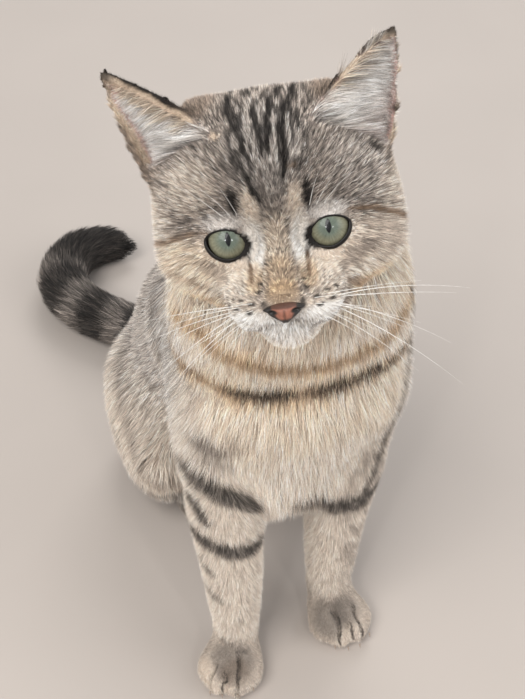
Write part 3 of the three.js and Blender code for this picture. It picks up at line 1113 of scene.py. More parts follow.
def head_stripes() -> list[Stripe]:
    """The dark lines of the crown, the brows, the cheeks and the whisker pads, and brown lines of
    painted shade along the groove of the mouth.

    Returns:
        The stripes, in the order that they are laid.
    """
    dark, brown, slate = Tone.DARK, Tone.BROWN, Tone.SLATE
    lines = [
        Stripe(dark, ((-15, 34, 58), (-14, 20, 53), (-13, 12, 50), (-9, 3, 41), (-10, 0, 36)),
               1.8),
        Stripe(dark, ((-10, -2, 31), (-9, -4, 27), (-7, -6, 21), (-5, -7, 17)), 1.6, 1.0),
        Stripe(dark, ((-8, 34, 58), (-7, 26, 56)), 1.6, 0.9),
        Stripe(dark, ((-3, 24, 55), (-4, 14, 51), (-2, 6, 46), (-2, -1, 38), (-1, -3, 34)), 1.4,
               0.95),
        Stripe(dark, ((3, 26, 56), (3, 14, 51), (2, 8, 47), (1, 0, 40), (1, -3, 35)), 1.4, 1.0),
        Stripe(dark, ((9, 36, 58), (7, 28, 57), (6, 22, 55)), 1.5, 0.95),
        Stripe(dark, ((14, 36, 58), (12, 22, 54), (9, 14, 51), (7, 6, 46), (7, -1, 39),
                      (8, -4, 32), (6, -6, 26)), 1.9),
        Stripe(brown, ((8, -4, 31), (12, -3, 30)), 1.4, 0.7),
        Stripe(slate, ((-3, -4, 30), (-4, -5, 24), (-3, -6, 18), (-1, -8, 12)), 1.7, 0.7),
        Stripe(slate, ((2, -5, 20), (3, -7, 13)), 1.2, 0.4),
        Stripe(dark, ((-17.5, -2, 24), (-17, -3, 19), (-17, -4, 13)), 2.5, 1.0),
        Stripe(dark, ((15, -3, 24), (15.5, -4, 19), (14.5, -4, 12)), 2.4, 1.0),
        Stripe(brown, ((-30, 2, 6), (-39, 5, 5), (-50, 16, 1), (-56, 36, -2)), 1.4, 0.8),
        Stripe(brown, ((31, 2, 8), (42, 7, 6), (53, 22, -2), (58, 40, -8)), 1.5, 0.9),
        Stripe(slate, ((-36, 3, -8), (-29, 3, -12), (-22, 0, -17)), 3.4, 0.5),
        Stripe(slate, ((41, 5, -8), (32, 3, -13), (24, 0, -17)), 4.0, 0.6),
        Stripe(brown, ((-54, 17, -11), (-44, 10, -16), (-33, 7, -20)), 2.2, 0.5),
        Stripe(brown, ((-56, 56, -34), (-45, 40, -33), (-33, 14, -28)), 3.2, 0.55),
        Stripe(brown, ((54, 50, -34), (40, 34, -32), (27, 4, -24)), 3.0, 0.6),
        Stripe(slate, ((54, 15, -12), (46, 10, -17), (36, 6, -21)), 2.0, 0.45),
        Stripe(dark, ((-13.8, -2, -5.5), (-13.2, -4, -9)), 0.8, 0.8),
        Stripe(dark, ((12, -2, -4.5), (11.4, -4, -8.5)), 1.1, 0.9),
        Stripe(brown, ((-13.5, -3, -7), (-12.5, -6, -12), (-11, -12, -18)), 1.2, 0.9),
        Stripe(brown, ((12, -3, -6), (11, -6, -11), (10.2, -12, -17.5)), 1.5, 0.95),
    ]
    # the brown lines along the mouth are painted shade in its groove
    lines += [Stripe(brown, line, 0.6, 0.45) for line in Skin.MOUTH]
    for side in (RIGHT, LEFT):
        beside_nose = ((side * 9, -26, -19), (side * 8.6, -29, -21.5), (side * 7, -31, -24))
        lines.append(Stripe(dark, beside_nose, 1.6, 0.85))
    for side in (RIGHT, LEFT):
        for x, y, z in PAD_SPOTS:
            spot = ((side * (x - 0.7), y - 0.5, z), (side * (x + 0.7), y + 0.5, z))
            lines.append(Stripe(dark, spot, 0.95, 0.9, taper=0.0, broken=0.0))
    return lines


def body_stripes() -> list[Stripe]:
    """The bands across the throat and the breast, and a dark line of painted shade down the outline
    of the left side.

    Returns:
        The stripes, in the order that they are laid.
    """
    dark, brown, slate, body = Tone.DARK, Tone.BROWN, Tone.SLATE, Space.BODY
    throat = ((-52, -136, 250), (-46, -163, 254), (-38, -166, 246), (-28, -173, 240),
              (-14, -175, 235), (0, -178, 233), (16, -176, 230), (29, -174, 231),
              (43, -167, 231), (55, -158, 238), (64, -140, 248))
    necklace = ((-50, -110, 214), (-41, -128, 205), (-38, -144, 209), (-29, -151, 205),
                (-20, -161, 206), (-8, -165, 207), (4, -168, 208), (24, -167, 208),
                (36, -164, 209), (52, -152, 207), (68, -132, 205))
    return [
        Stripe(Tone.OCHRE, throat, 8.0, 0.65, body),
        Stripe(brown, throat, 4.4, 0.75, body),
        Stripe(Tone.OCHRE, necklace, 10.0, 0.55, body),
        Stripe(brown, necklace, 5.6, 0.8, body, 0.5),
        Stripe(dark, necklace[3:7], 6.6, 0.95, body),
        Stripe(dark, necklace[6:10], 5.6, 0.9, body),
        Stripe(dark, necklace[8:], 3.4, 0.7, body),
        Stripe(slate, ((-45, -129, 193), (-39, -138, 190), (-34, -150, 195)), 2.2, 0.4, body),
        Stripe(slate, ((-48, -139, 165), (-42, -146, 163), (-33, -151, 162), (-22, -156, 165)),
               3.8, 0.9, body),
        Stripe(slate, ((-45, -146, 155), (-36, -153, 155), (-25, -152, 151)), 2.6, 0.65, body),
        Stripe(slate, ((-30, -150, 172), (-14, -162, 168)), 2.6, 0.4, body),
        Stripe(slate, ((30, -164, 163), (42, -158, 161), (56, -143, 152), (66, -140, 157)), 2.8,
               0.5, body),
        # painted shade along the outline of the left side, which turns away from the key light
        Stripe(dark, ((66, -150, 252), (74, -143, 226), (78, -136, 200), (78, -140, 185),
                      (74, -145, 171), (71, -145, 158), (67, -143, 144), (60, -148, 133),
                      (54, -152, 122), (48, -154, 110)), 3.6, 0.85, body, 0.4),
    ]


def leg_stripes() -> list[Stripe]:
    """The bars of the two forelegs, and dark lines of painted shade along the clefts between the
    toes.

    Returns:
        The stripes, in the order that they are laid.
    """
    dark, slate, body = Tone.DARK, Tone.SLATE, Space.BODY
    lines = [
        Stripe(dark, ((-55, -124, 142), (-49, -143, 143), (-44, -151, 142), (-38, -158, 140),
                      (-28, -161, 135), (-12, -159, 121)), 5.2, 0.92, body, 0.6),
        Stripe(dark, ((-54, -138, 128), (-48, -151, 127), (-43, -162, 120)), 3.4, 0.9, body),
        Stripe(dark, ((-54, -138, 108), (-49, -151, 107), (-43, -163, 106), (-31, -169, 102),
                      (-19, -168, 99), (-9, -158, 97)), 5.2, 0.95, body, 0.5),
        Stripe(dark, ((-50, -148, 88), (-45, -159, 84), (-41, -165, 81)), 2.4, 0.8, body),
        Stripe(dark, ((-48, -148, 67), (-43, -161, 64), (-37, -168, 62)), 2.6, 0.7, body),
        Stripe(slate, ((-32, -172, 46), (-26, -172, 45)), 1.0, 0.6, body, 0.0),
        Stripe(slate, ((-39, -164, 26), (-33, -169, 25)), 1.0, 0.6, body, 0.0),
        Stripe(slate, ((-32, -172, 22), (-26, -173, 21)), 1.0, 0.6, body, 0.0),
        Stripe(dark, ((8, -158, 108), (18, -157, 105), (28, -154, 102), (42, -154, 101),
                      (50, -150, 104), (58, -142, 106)), 6.0, 0.92, body, 0.2),
    ]
    # the dark lines along the toe clefts are painted shade in the clefts
    return lines + [Stripe(dark, line, 0.75, 0.85, body, 0.4, 0.1) for line in Skin.TOE_CLEFTS]


@dataclass
class Markings:
    """The tones of the whole coat, worked out for any place on the animal."""

    head: HeadFrame
    tail_line: Array
    surface: BVHTree             # the outside of the coat

    def __post_init__(self) -> None:
        """Lays the stripes on the outside of the coat."""
        self.face_lines = [(stripe, self.laid(stripe)) for stripe in head_stripes()]
        self.body_lines = [(stripe, self.laid(stripe))
                           for stripe in body_stripes() + leg_stripes()]

    def laid(self, stripe: Stripe) -> Array:
        """The line of a stripe on the outside of the coat, in the stripe's space.

        Args:
            stripe: The stripe.

        Returns:
            The corners of the line, in mm.
        """
        line = stripe.fine_line()
        on_head = stripe.space is Space.HEAD
        places = self.head.leave(line) if on_head else line * MM
        found = np.array([self.surface.find_nearest(Vector(place))[0] for place in places])
        return self.head.enter(found) if on_head else found / MM

    def tones(self, points: Array, shares: Array, ears: Array,
              hair: bool) -> tuple[Array, Array]:
        """Paints places of the coat.

        Args:
            points: Places in metres, one in a row.
            shares: Each place's share in every part.
            ears: How much each place is inside an ear, on its warm rim, on the dark fringe
                behind it and on the pink outer side of the cup.
            hair: Whether hair is painted, and not the skin under it.

        Returns:
            The linear colour of each place, and how ticked the coat is there, from 0 to 1.
        """
        on = {part: shares[:, i] for i, part in enumerate(PARTS)}
        place = points / MM
        face = self.head.enter(points)
        colour = np.tile(Tone.GREY.colour, (len(points), 1))
        ticked = np.full(len(points), 0.9)
        below = 1 - sum(on[part] for part in HEAD_PARTS)
        self.tint(colour, Tone.SILVER, 0.34 * below)
        topside = ease(60, 150, place[:, 1] + 0.8 * place[:, 2])
        self.tint(colour, Tone.SLATE, 0.42 * below * topside)
        self.tint(colour, Tone.CREAM, 0.67 * self.pale_front(place, on))
        warm = on[Part.NECK] + on[Part.CHEST] * ease(120, 180, place[:, 2])
        self.tint(colour, Tone.SAND, 0.35 * warm * ease(0.35, 0.65, mottle(place, 30, 12)))
        ticked -= 0.6 * self.pale_front(place, on)
        ticked *= 1 - 0.5 * (on[Part.FOREARM] + on[Part.FOREPAW])
        ticked *= 1 - 0.35 * (on[Part.LOINS] + on[Part.RUMP] + on[Part.THIGH])
        dark = self.trunk_bands(place, on)
        self.tint(colour, Tone.DARK, 0.5 * dark)
        self.tint(colour, Tone.SLATE, 0.55 * on[Part.TAIL])
        self.tint(colour, Tone.DARK, self.tail_rings(place, on))
        self.tint(colour, Tone.SLATE, 0.5 * self.speckle(place, on))
        for patch in body_patches():
            cover = patch.cover(place) * (on[Part.FOREPAW] + on[Part.FOREARM])
            self.tint(colour, patch.tone, cover)
        on_head = sum(on[part] for part in HEAD_PARTS)
        for patch in head_patches():
            cover = patch.cover(face) * on_head
            self.tint(colour, patch.tone, cover)
            ticked *= 1 - 0.72 * cover
        crown = ease(24, 14, np.abs(face[:, 0])) * ease(22, 34, face[:, 2]) * on_head
        flecks = ease(0.45, 0.62, mottle(face * (1, 0.3, 0.3), 1.5, 15))
        self.tint(colour, Tone.DARK, 0.8 * crown * flecks)
        for stripe, line in self.face_lines:
            cover = stripe.cover(face, line) * on_head
            self.tint(colour, stripe.tone, cover)
            ticked *= 1 - 0.8 * cover
        for eye in (EyeOpening(RIGHT), EyeOpening(LEFT)):
            front = ease(2, -2, face[:, 1] - eye.depth) * (on_head > 0.5)
            self.tint(colour, Tone.DARK, front * ease(1.2, 0.5, eye.gap(face)))
        self.paint_ears(face, colour, ticked, on[Part.EAR], ears, hair)
        below = 1 - ease(0.4, 0.9, on_head)
        for stripe, line in self.body_lines:
            cover = stripe.cover(place, line) * below
            self.tint(colour, stripe.tone, cover)
            ticked *= 1 - 0.6 * cover
        return colour, np.clip(ticked, 0.1, 1)

    @staticmethod
    def tint(colour: Array, tone: Tone, cover: Array) -> None:
        """Lays a tone over the colours, each by its own share."""
        colour += np.clip(cover, 0, 1)[:, None] * (tone.colour - colour)

    def paint_ears(self, face: Array, colour: Array, ticked: Array,
                   on_ear: Array, ears: Array, hair: bool) -> None:
        """Paints the ears: a dark fringe behind a warm rim, pale hair on pink inside.

        Args:
            face: Places in the head's frame, in mm.
            colour: The colours, changed in place.
            ticked: How ticked the coat is, changed in place.
            on_ear: Each place's share in the ears.
            ears: What the skin knows of the ears there.
            hair: Whether hair is painted, and not the skin under it.
        """
        inner, warm, black, outer = ears.T
        self.tint(colour, Tone.BROWN, 0.55 * on_ear * (1 - inner))
        self.tint(colour, Tone.DARK, 0.96 * black)
        self.tint(colour, Tone.SILVER if hair else Tone.PINK, 0.95 * inner)
        self.tint(colour, Tone.PINK, (0.3 if hair else 0.6) * outer)
        self.tint(colour, Tone.OCHRE, 0.5 * warm)
        self.tint(colour, Tone.CREAM, 0.5 * warm)
        for ear in EARS:
            for spot in ear.spots:
                away = np.linalg.norm(face - spot, axis=1)
                self.tint(colour, Tone.DARK, 0.8 * ease(3.4, 1.2, away))
            tip = ease(8.0, 2.5, np.linalg.norm(face - ear.rim[0], axis=1))
            self.tint(colour, Tone.DARK, 0.85 * tip * (1 - 0.7 * inner) * (on_ear > 0.3))
        ticked *= 1 - 0.6 * np.maximum.reduce([black, warm, 0.6 * inner])

    @staticmethod
    def pale_front(place: Array, on: dict[Part, Array]) -> Array:
        """How pale the throat, breast, forelegs, belly and hind feet are.

        Args:
            place: Places in mm.
            on: Each place's share in every part.

        Returns:
            A share from 0 to 1 for each place.
        """
        front = ease(-105, -132, place[:, 1])
        pale = on[Part.NECK] * ease(-118, -146, place[:, 1])
        pale += (on[Part.CHEST] + on[Part.UPPER_ARM]) * front
        pale += on[Part.FOREARM] * (0.85 + 0.15 * front) + 0.8 * on[Part.FOREPAW]
        under = ease(120, 66, place[:, 2])
        pale += (on[Part.THIGH] + on[Part.LOINS]) * under
        pale += 0.5 * (on[Part.HIND_FOOT] + on[Part.SHANK])
        return np.clip(pale, 0, 1)

    @staticmethod
    def trunk_bands(place: Array, on: dict[Part, Array]) -> Array:
        """The narrow dark bands down the sides, and the line along the back.

        Args:
            place: Places in mm.
            on: Each place's share in every part.

        Returns:
            A share from 0 to 1 for each place.
        """
        side = sum(on[part] for part in (Part.LOINS, Part.RUMP, Part.THIGH, Part.CHEST,
                                         Part.NECK, Part.UPPER_ARM))
        side = side * ease(-118, -80, place[:, 1])
        along = 0.62 * place[:, 1] - 0.78 * place[:, 2]
        wander = 16 * (mottle(place, 42, 3) - 0.5) + 7 * (mottle(place, 15, 4) - 0.5)
        wave = 0.5 + 0.5 * np.cos(2 * math.pi * (along + wander) / 25)
        broken = ease(0.25, 0.55, mottle(place, 24, 5))
        band = ease(0.55, 0.9, wave) * (0.35 + 0.65 * broken)
        spine = ease(13, 5, np.abs(place[:, 0] - 4)) * ease(-100, -60, place[:, 1])
        back = ease(0.0, 40.0, place[:, 1] + 0.8 * place[:, 2] - 90)
        return side * np.clip(band * 0.8 + 0.8 * spine * back, 0, 1)

    def tail_rings(self, place: Array, on: dict[Part, Array]) -> Array:
        """The dark rings of the tail and its dark tip.

        Args:
            place: Places in mm.
            on: Each place's share in every part.

        Returns:
            A share from 0 to 1 for each place.
        """
        _, share = near_line(place, self.tail_line)
        wave = 0.5 + 0.5 * np.cos(2 * math.pi * (share * 6.5 + 0.25 * mottle(place, 20, 9)))
        rings = ease(0.35, 0.75, wave) * 0.8
        tip = ease(0.62, 0.78, share)
        top = 0.35 * ease(20, 34, place[:, 2])
        return on[Part.TAIL] * np.clip(np.maximum(rings, tip) + top, 0, 0.93)

    @staticmethod
    def speckle(place: Array, on: dict[Part, Array]) -> Array:
        """The grey speckle on the outer side of the left foreleg and on the paws.

        Args:
            place: Places in mm.
            on: Each place's share in every part.

        Returns:
            A share from 0 to 1 for each place.
        """
        outer = 1.2 * on[Part.FOREARM] * ease(29, 43, place[:, 0])
        paws = 0.3 * on[Part.FOREPAW] * ease(10, 20, place[:, 2]) + 0.6 * on[Part.HIND_FOOT]
        return np.clip((outer + paws) * ease(0.3, 0.7, mottle(place, 2.6, 11)), 0, 1)


# ---------------- camera, light and floor


@dataclass(frozen=True)
class Studio:
    """The camera, the soft lights and the pale floor."""

    camera_place: Place = (-158.5, -667.8, 711.0)   # mm
    pitch: float = 42.0          # degrees below the horizon
    heading: float = 16.0        # degrees to the right of +Y
    focal: float = 77.25         # mm on a sensor of 36 mm
    floor_size: float = 8.0      # m
    floor_colour: tuple[int, int, int] = (184, 174, 166)

    def build(self) -> None:
        """Sets up everything round the animal."""
        self.add_camera()
        self.add_lights()
        self.add_floor()

    def add_camera(self) -> None:
        """Adds the camera and makes it the scene's own."""
        turn = (math.radians(90 - self.pitch), 0, -math.radians(self.heading))
        place = Vector(self.camera_place) * MM
        bpy.ops.object.camera_add(location=place, rotation=turn)
        camera = bpy.context.object
        camera.data.lens = self.focal
        camera.data.sensor_width = 36
        bpy.context.scene.camera = camera

    def add_light(self, name: str, place: Place, size: float,
                  watts: float, tone: Place) -> None:
        """Adds a square soft light that faces the animal.

        Args:
            name: The light's name.
            place: Where it hangs, in metres.
            size: The length of its side, in metres.
            watts: Its power.
            tone: Its colour.
        """
        bpy.ops.object.light_add(type="AREA", location=place)
        light = bpy.context.object
        light.name = light.data.name = name
        light.data.size = size
        light.data.energy = watts
        light.data.color = tone
        aim = Vector((0, -0.1, 0.25)) - Vector(place)
        light.rotation_euler = aim.to_track_quat("-Z", "Y").to_euler()

    def add_lights(self) -> None:
        """Adds a broad key from the upper left, a fill, a rim and two small glints."""
        self.add_light("key", (-1.1, -1.0, 2.0), 1.4, 39, (1.0, 0.985, 0.96))
        self.add_light("fill", (1.5, -1.2, 1.3), 1.6, 14, (0.97, 0.98, 1.0))
        self.add_light("rim", (0.7, 1.5, 1.6), 1.2, 16, (1.0, 0.99, 0.98))
        self.add_light("glint_right", (-0.62, -1.15, 1.12), 0.10, 2.2, (1.0, 1.0, 1.0))
        self.add_light("glint_left", (0.12, -1.30, 1.10), 0.10, 2.2, (1.0, 1.0, 1.0))
        world = bpy.data.worlds.new("studio_air")
        world.use_nodes = True
        world.node_tree.nodes["Background"].inputs["Color"].default_value = (0.86, 0.88, 0.9, 1)
        world.node_tree.nodes["Background"].inputs["Strength"].default_value = 0.62
        bpy.context.scene.world = world
        bpy.context.scene.view_settings.view_transform = "Standard"

    def add_floor(self) -> None:
        """Adds a plain pale floor."""
        bpy.ops.mesh.primitive_plane_add(size=self.floor_size)
        floor = bpy.context.object
        floor.name = "floor"
        nodes = Nodes("pale_floor")
        base = linear(*self.floor_colour)
        noise = nodes.noise(nodes.place(), 7.0, 2.0)
        nodes.link(nodes.ramp(noise, [(0.0, base * 0.95), (1.0, base * 1.04)]), "Base Color")
        nodes.set(Roughness=0.6)
        floor.data.materials.append(nodes.material)


# ---------------- the coat


@dataclass
class Lay:
    """The way that the hair lies at each vertex of the skin."""

    skin: Skin
    nose: Place = (0.0, -36.0, -17.0)
    blend_rounds: int = 17

    def build(self) -> Array:
        """Works out the lie of the hair.

        Returns:
            One direction along the skin for each vertex.
        """
        skin = self.skin
        flow = np.array([part.value.flow for part in PARTS])[skin.part]
        face = skin.head.enter(skin.points)
        on_face = skin.on(*FACE_PARTS)
        flow[on_face] = self.on_face(face[on_face]) @ skin.head.axes.T
        on_ear = skin.on(Part.EAR) | (skin.ears[:, 0] > 0.5)
        flow[on_ear] = self.on_ear(face[on_ear], skin.ears[on_ear]) @ skin.head.axes.T
        on_tail = skin.on(Part.TAIL)
        flow[on_tail] = self.on_tail(skin.points[on_tail] / MM)
        fan = np.clip((skin.points[:, 0] / MM - 3) / 60, -1, 1)
        front = skin.on(Part.NECK, Part.CHEST)
        flow[front, 0] += 0.3 * fan[front]
        inner = skin.ears[:, :1] > 0.5
        flow = np.where(inner, unit(flow), skin.relax(unit(flow), self.blend_rounds, 0.7))
        flow -= skin.normals * np.sum(flow * skin.normals, axis=1, keepdims=True)
        return unit(flow)

    def on_face(self, face: Array) -> Array:
        """Hair of the face runs away from the nose and droops on the cheeks.

        Args:
            face: Places in the head's frame, in mm.

        Returns:
            A direction for each place, in the head's frame.
        """
        away = unit(face - self.nose)
        away[:, 2] -= 0.5 * ease(18, 45, np.abs(face[:, 0])) * ease(20, -20, face[:, 2])
        for eye in self.skin.eyes:
            near = ease(9.0, 0.5, eye.gap(face)) * ease(2, -2, face[:, 1] - eye.depth)
            away += 2.2 * near[:, None] * unit(face - eye.centre)
        return unit(away)

    @staticmethod
    def on_ear(face: Array, ears: Array) -> Array:
        """Hair runs from an ear's base to its tip behind it, and across it inside.

        Args:
            face: Places in the head's frame, in mm.
            ears: What the skin knows of the ears there.

        Returns:
            A direction for each place, in the head's frame.
        """
        flow = np.empty_like(face)
        for ear in EARS:
            own = face[:, 0] * ear.side > 0
            slope = np.interp(face[own, 2], (38, 68), ear.sweep)
            across = np.stack([np.full(len(slope), ear.side), np.full(len(slope), 0.1), slope], 1)
            flow[own] = np.where(ears[own, :1] > 0.5, unit(across), ear.rise)
        return flow

    @staticmethod
    def on_tail(place: Array) -> Array:
        """Hair of the tail runs along it to the tip.

        Args:
            place: Places in mm.

        Returns:
            A direction for each place.
        """
        line = np.array(TAIL_LINE, float)
        steps = np.diff(line, axis=0)
        middles = (line[:-1] + line[1:]) / 2
        gaps = np.linalg.norm(place[:, None] - middles[None], axis=2)
        weights = np.exp(-((gaps / 18) ** 2)) + 1e-9
        return unit(weights @ unit(steps) / weights.sum(axis=1, keepdims=True))


@dataclass(frozen=True)
class Coat:
    """One area of the coat, made of joined tufts."""

    name: str
    parts: tuple[Part, ...]
    line: Line                   # mm, the area is unrolled round this line
    space: Space = Space.BODY
    side: int = 0                # RIGHT or LEFT where the area is on one side only
    round_ball: bool = False     # unrolled by its slope over the horizon, as a ball is
    two_faced: bool = False      # front and back are unrolled apart
    bent: bool = True            # long hair bends, short hair is straight
    clump: float = 1.8           # mm between locks
    gather: float = 0.35         # how far a lock draws its tips together
    lock_share: float = 0.45     # how much of a tuft's shade its lock decides

    MIDDLE: ClassVar = 4.0       # mm, the plane between the two sides


FORELEG, SHIN = (Part.UPPER_ARM, Part.FOREARM, Part.FOREPAW), (Part.SHANK, Part.HIND_FOOT)
FACE = dict(space=Space.HEAD, bent=False, clump=0.75, gather=0.3, lock_share=0.72)
SIDES = dict(clump=1.3, gather=0.25, lock_share=0.35)
COATS = (
    Coat("coat_face", FACE_PARTS, ((0, 15, -60), (0, 15, 75)), round_ball=True, **FACE),
    Coat("coat_ear_right", (Part.EAR,), ((-35, 25, 31), (-65, 27, 75)), side=RIGHT,
         two_faced=True, **FACE),
    Coat("coat_ear_left", (Part.EAR,), ((34, 23, 33), (59, 26, 77)), side=LEFT,
         two_faced=True, **FACE),
    Coat("coat_throat", (Part.NECK,), ((-5, -150, 320), (5, -105, 180))),
    Coat("coat_breast", (Part.CHEST,), ((5, -105, 260), (5, -85, 90))),
    Coat("coat_foreleg_right", FORELEG, ((-38, -95, 220), (-32, -140, 60), (-36, -165, 5)),
         side=RIGHT, bent=False, clump=1.2, gather=0.2, lock_share=0.35),
    Coat("coat_foreleg_left", FORELEG, ((48, -95, 220), (34, -125, 60), (34, -148, 5)),
         side=LEFT, bent=False, clump=1.2, gather=0.2, lock_share=0.35),
    Coat("coat_flanks", (Part.LOINS,), ((5, -110, 160), (8, 20, 90)), **SIDES),
    Coat("coat_rump", (Part.RUMP,), ((8, -40, 120), (8, 60, 20)), **SIDES),
    Coat("coat_thigh_right", (Part.THIGH,), ((-40, -30, 115), (-38, 10, 10)), side=RIGHT,
         **SIDES),
    Coat("coat_thigh_left", (Part.THIGH,), ((58, -30, 115), (56, 10, 10)), side=LEFT, **SIDES),
    Coat("coat_hind_foot_right", SHIN, ((-44, 60, 14), (-18, -60, 12)), side=RIGHT, bent=False),
    Coat("coat_hind_foot_left", SHIN, ((60, 60, 14), (46, -60, 12)), side=LEFT, bent=False),
    Coat("coat_tail", (Part.TAIL,), TAIL_LINE),
)


@dataclass
class Roots:
    """The roots of an area's tufts and what each has from the skin, one in a row."""

    place: Array            # m
    marked: Array           # m, over the root, where the markings are seen
    normal: Array
    flow: Array
    shares: Array
    ears: Array
    length: Array           # mm
    width: Array            # mm
    rise: Array             # radians over the skin
    lock: Array             # number of its lock
    luck: Array             # two random numbers from 0 to 1 that a lock shares


@dataclass
class CoatMaker:
    """Grows the tufts of every area of the coat from the skin."""

    skin: Skin
    markings: Markings
    lay: Array
    thickness: float = 0.85      # share of the densities of the parts that is grown
    root_under: float = 0.5      # mm that a root lies under the skin
    turn_spread: float = 0.16    # radians, how far tufts stray from the lie of the coat
    roll_spread: float = 0.55    # radians, how far a tuft leans over to one side
    patch: float = 0.003         # size of a tuft on the bake map
    floor_gap: float = 0.3       # mm, the least height of a tuft over the floor
    coat: Coat | None = None     # the area that is being grown
    rng: Draws | None = None     # draws its random numbers

    def build(self, finish: Material) -> None:
        """Grows all areas, each with its own random draws.

        Args:
            finish: The material of the coat.
        """
        self.count_tufts()
        for number, coat in enumerate(COATS):
            self.coat, self.rng = coat, np.random.default_rng(SEED + number)
            self.grow(finish)

    def count_tufts(self) -> None:
        """Works out the number of tufts on every triangle of the skin."""
        skin = self.skin
        a, b, c = (skin.points[skin.triangles[:, i]] / MM for i in range(3))
        area = np.linalg.norm(np.cross(b - a, c - a), axis=1) / 2
        density = skin.table("density") * (1 - skin.bare)
        self.wanted = area * density[skin.triangles].mean(axis=1) * self.thickness

    def grow(self, finish: Material) -> None:
        """Grows one area and makes its pieces.

        Args:
            finish: The material of the coat.
        """
        roots = self.plant()
        bodies = self.gathered(self.tufts(roots), roots.lock)
        bodies[..., 2] = np.maximum(bodies[..., 2], self.floor_gap * MM)
        self.make_pieces(bodies, self.colours(roots), self.unrolled(roots), finish)

    def plant(self) -> Roots:
        """Places the roots of the area and reads what the skin has there.

        Returns:
            The roots.
        """
        skin, coat, rng = self.skin, self.coat, self.rng
        chosen = skin.on(*coat.parts)[skin.triangles[:, 0]]
        if coat.side:
            middle = skin.points[skin.triangles[:, 0]]
            across = (skin.head.enter(middle)[:, 0] if coat.space is Space.HEAD
                      else middle[:, 0] / MM - coat.MIDDLE)
            chosen &= across * coat.side > 0
        corners, weights = self.sow(chosen)

        def spread(values: Array) -> Array:
            """Reads values of the skin's vertices at the roots."""
            return np.einsum("ij,ij...->i...", weights, values[corners])

        normal = unit(spread(skin.normals))
        place = spread(skin.points) - normal * self.root_under * MM
        shares = spread(skin.shares)
        sizes = {name: shares @ np.array([getattr(part.value, name) for part in PARTS])
                 for name in ("length", "width")}
        length = sizes["length"] * rng.uniform(0.7, 1.2, len(place)) * spread(skin.length)
        width = sizes["width"] * rng.uniform(0.75, 1.3, len(place))
        lock, luck = self.locks(place)
        flow = spread(self.lay)
        flow = unit(flow - normal * np.sum(flow * normal, axis=1, keepdims=True))
        stray = 1.6 * self.turn_spread * (luck[:, 1] - 0.5) + rng.normal(
            0, self.turn_spread, len(place))
        flow = turn_about(flow, normal, stray)
        lift = (spread(skin.depth) + self.root_under) / length
        rise = np.arcsin(np.clip(lift, 0.05, 0.75)) * (0.75 + 0.5 * luck[:, 0])
        rise += spread(skin.lift) * (0.7 + 0.6 * luck[:, 1])
        return Roots(place, spread(skin.marked_points()), normal, flow, shares,
                     spread(skin.ears), length, width, rise, lock, luck)

    def sow(self, chosen: Array) -> tuple[Array, Array]:
        """Places roots evenly over some triangles of the skin.

        Args:
            chosen: Which triangles.

        Returns:
            The three vertices of each root's triangle, and its weight for each of them.
        """
        rng = self.rng
        numbers = np.flatnonzero(chosen)
        summed = np.cumsum(self.wanted[numbers])
        count = int(summed[-1])
        steps = (np.arange(count) + rng.random(count)) * summed[-1] / count
        picked = numbers[np.searchsorted(summed, steps).clip(0, len(numbers) - 1)]
        first, second = np.sqrt(rng.random(count)), rng.random(count)
        weights = np.stack([1 - first, first * (1 - second), first * second], axis=1)
        return self.skin.triangles[picked], weights

    def locks(self, place: Array) -> tuple[Array, Array]:
        """Shares the tufts out to locks.

        Args:
            place: The roots.

        Returns:
            The number of each tuft's lock, and two random numbers that the lock's tufts share.
        """
        density = np.mean([part.value.density for part in self.coat.parts]) * self.thickness
        each = max(2, int(density * self.coat.clump**2))
        heads = self.rng.choice(len(place), max(1, len(place) // each), replace=False)
        tree = KDTree(len(heads))
        for i, number in enumerate(heads):
            tree.insert(place[number], i)
        tree.balance()
        nearest = np.array([tree.find(root)[1] for root in place])
        return nearest, self.rng.random((len(heads), 2))[nearest]

    def tufts(self, roots: Roots) -> Array:
        """Shapes the tufts.

        Args:
            roots: The roots.

        Returns:
            The corners of every tuft: two at its root, two half way if it bends, one at its tip.
        """
        def lean(share: float) -> Array:
            """The way that the tufts point, at a share of their rise."""
            angle = (roots.rise * share)[:, None]
            return roots.flow * np.cos(angle) + roots.normal * np.sin(angle)

        length = roots.length[:, None] * MM
        roll = self.rng.normal(0, self.roll_spread, len(length))
        side = turn_about(unit(np.cross(roots.flow, roots.normal)), roots.flow, roll)
        side *= roots.width[:, None] * MM / 2
        ring = [roots.place - side, roots.place + side]
        if not self.coat.bent:
            return np.stack([*ring, roots.place + length * lean(1.0)], axis=1)
        middle = roots.place + length / 2 * lean(1.45)
        return np.stack([*ring, middle - side * 0.85, middle + side * 0.85,
                         middle + length / 2 * lean(0.55)], axis=1)

    def gathered(self, bodies: Array, lock: Array) -> Array:
        """Draws the tips of each lock together.

        Args:
            bodies: The corners of the tufts.
            lock: The number of each tuft's lock.

        Returns:
            The corners where they are then.
        """
        count = np.bincount(lock).clip(1)[:, None]
        tips = bodies[:, -1]
        mean = np.stack([np.bincount(lock, tips[:, i]) for i in range(3)], axis=1) / count
        share = self.coat.gather * self.rng.uniform(0.4, 1.3, len(bodies))[:, None]
        pull = share * (mean[lock] - tips)
        bodies[:, -1] += pull
        bodies[:, 2:-1] += 0.35 * pull[:, None]
        return bodies

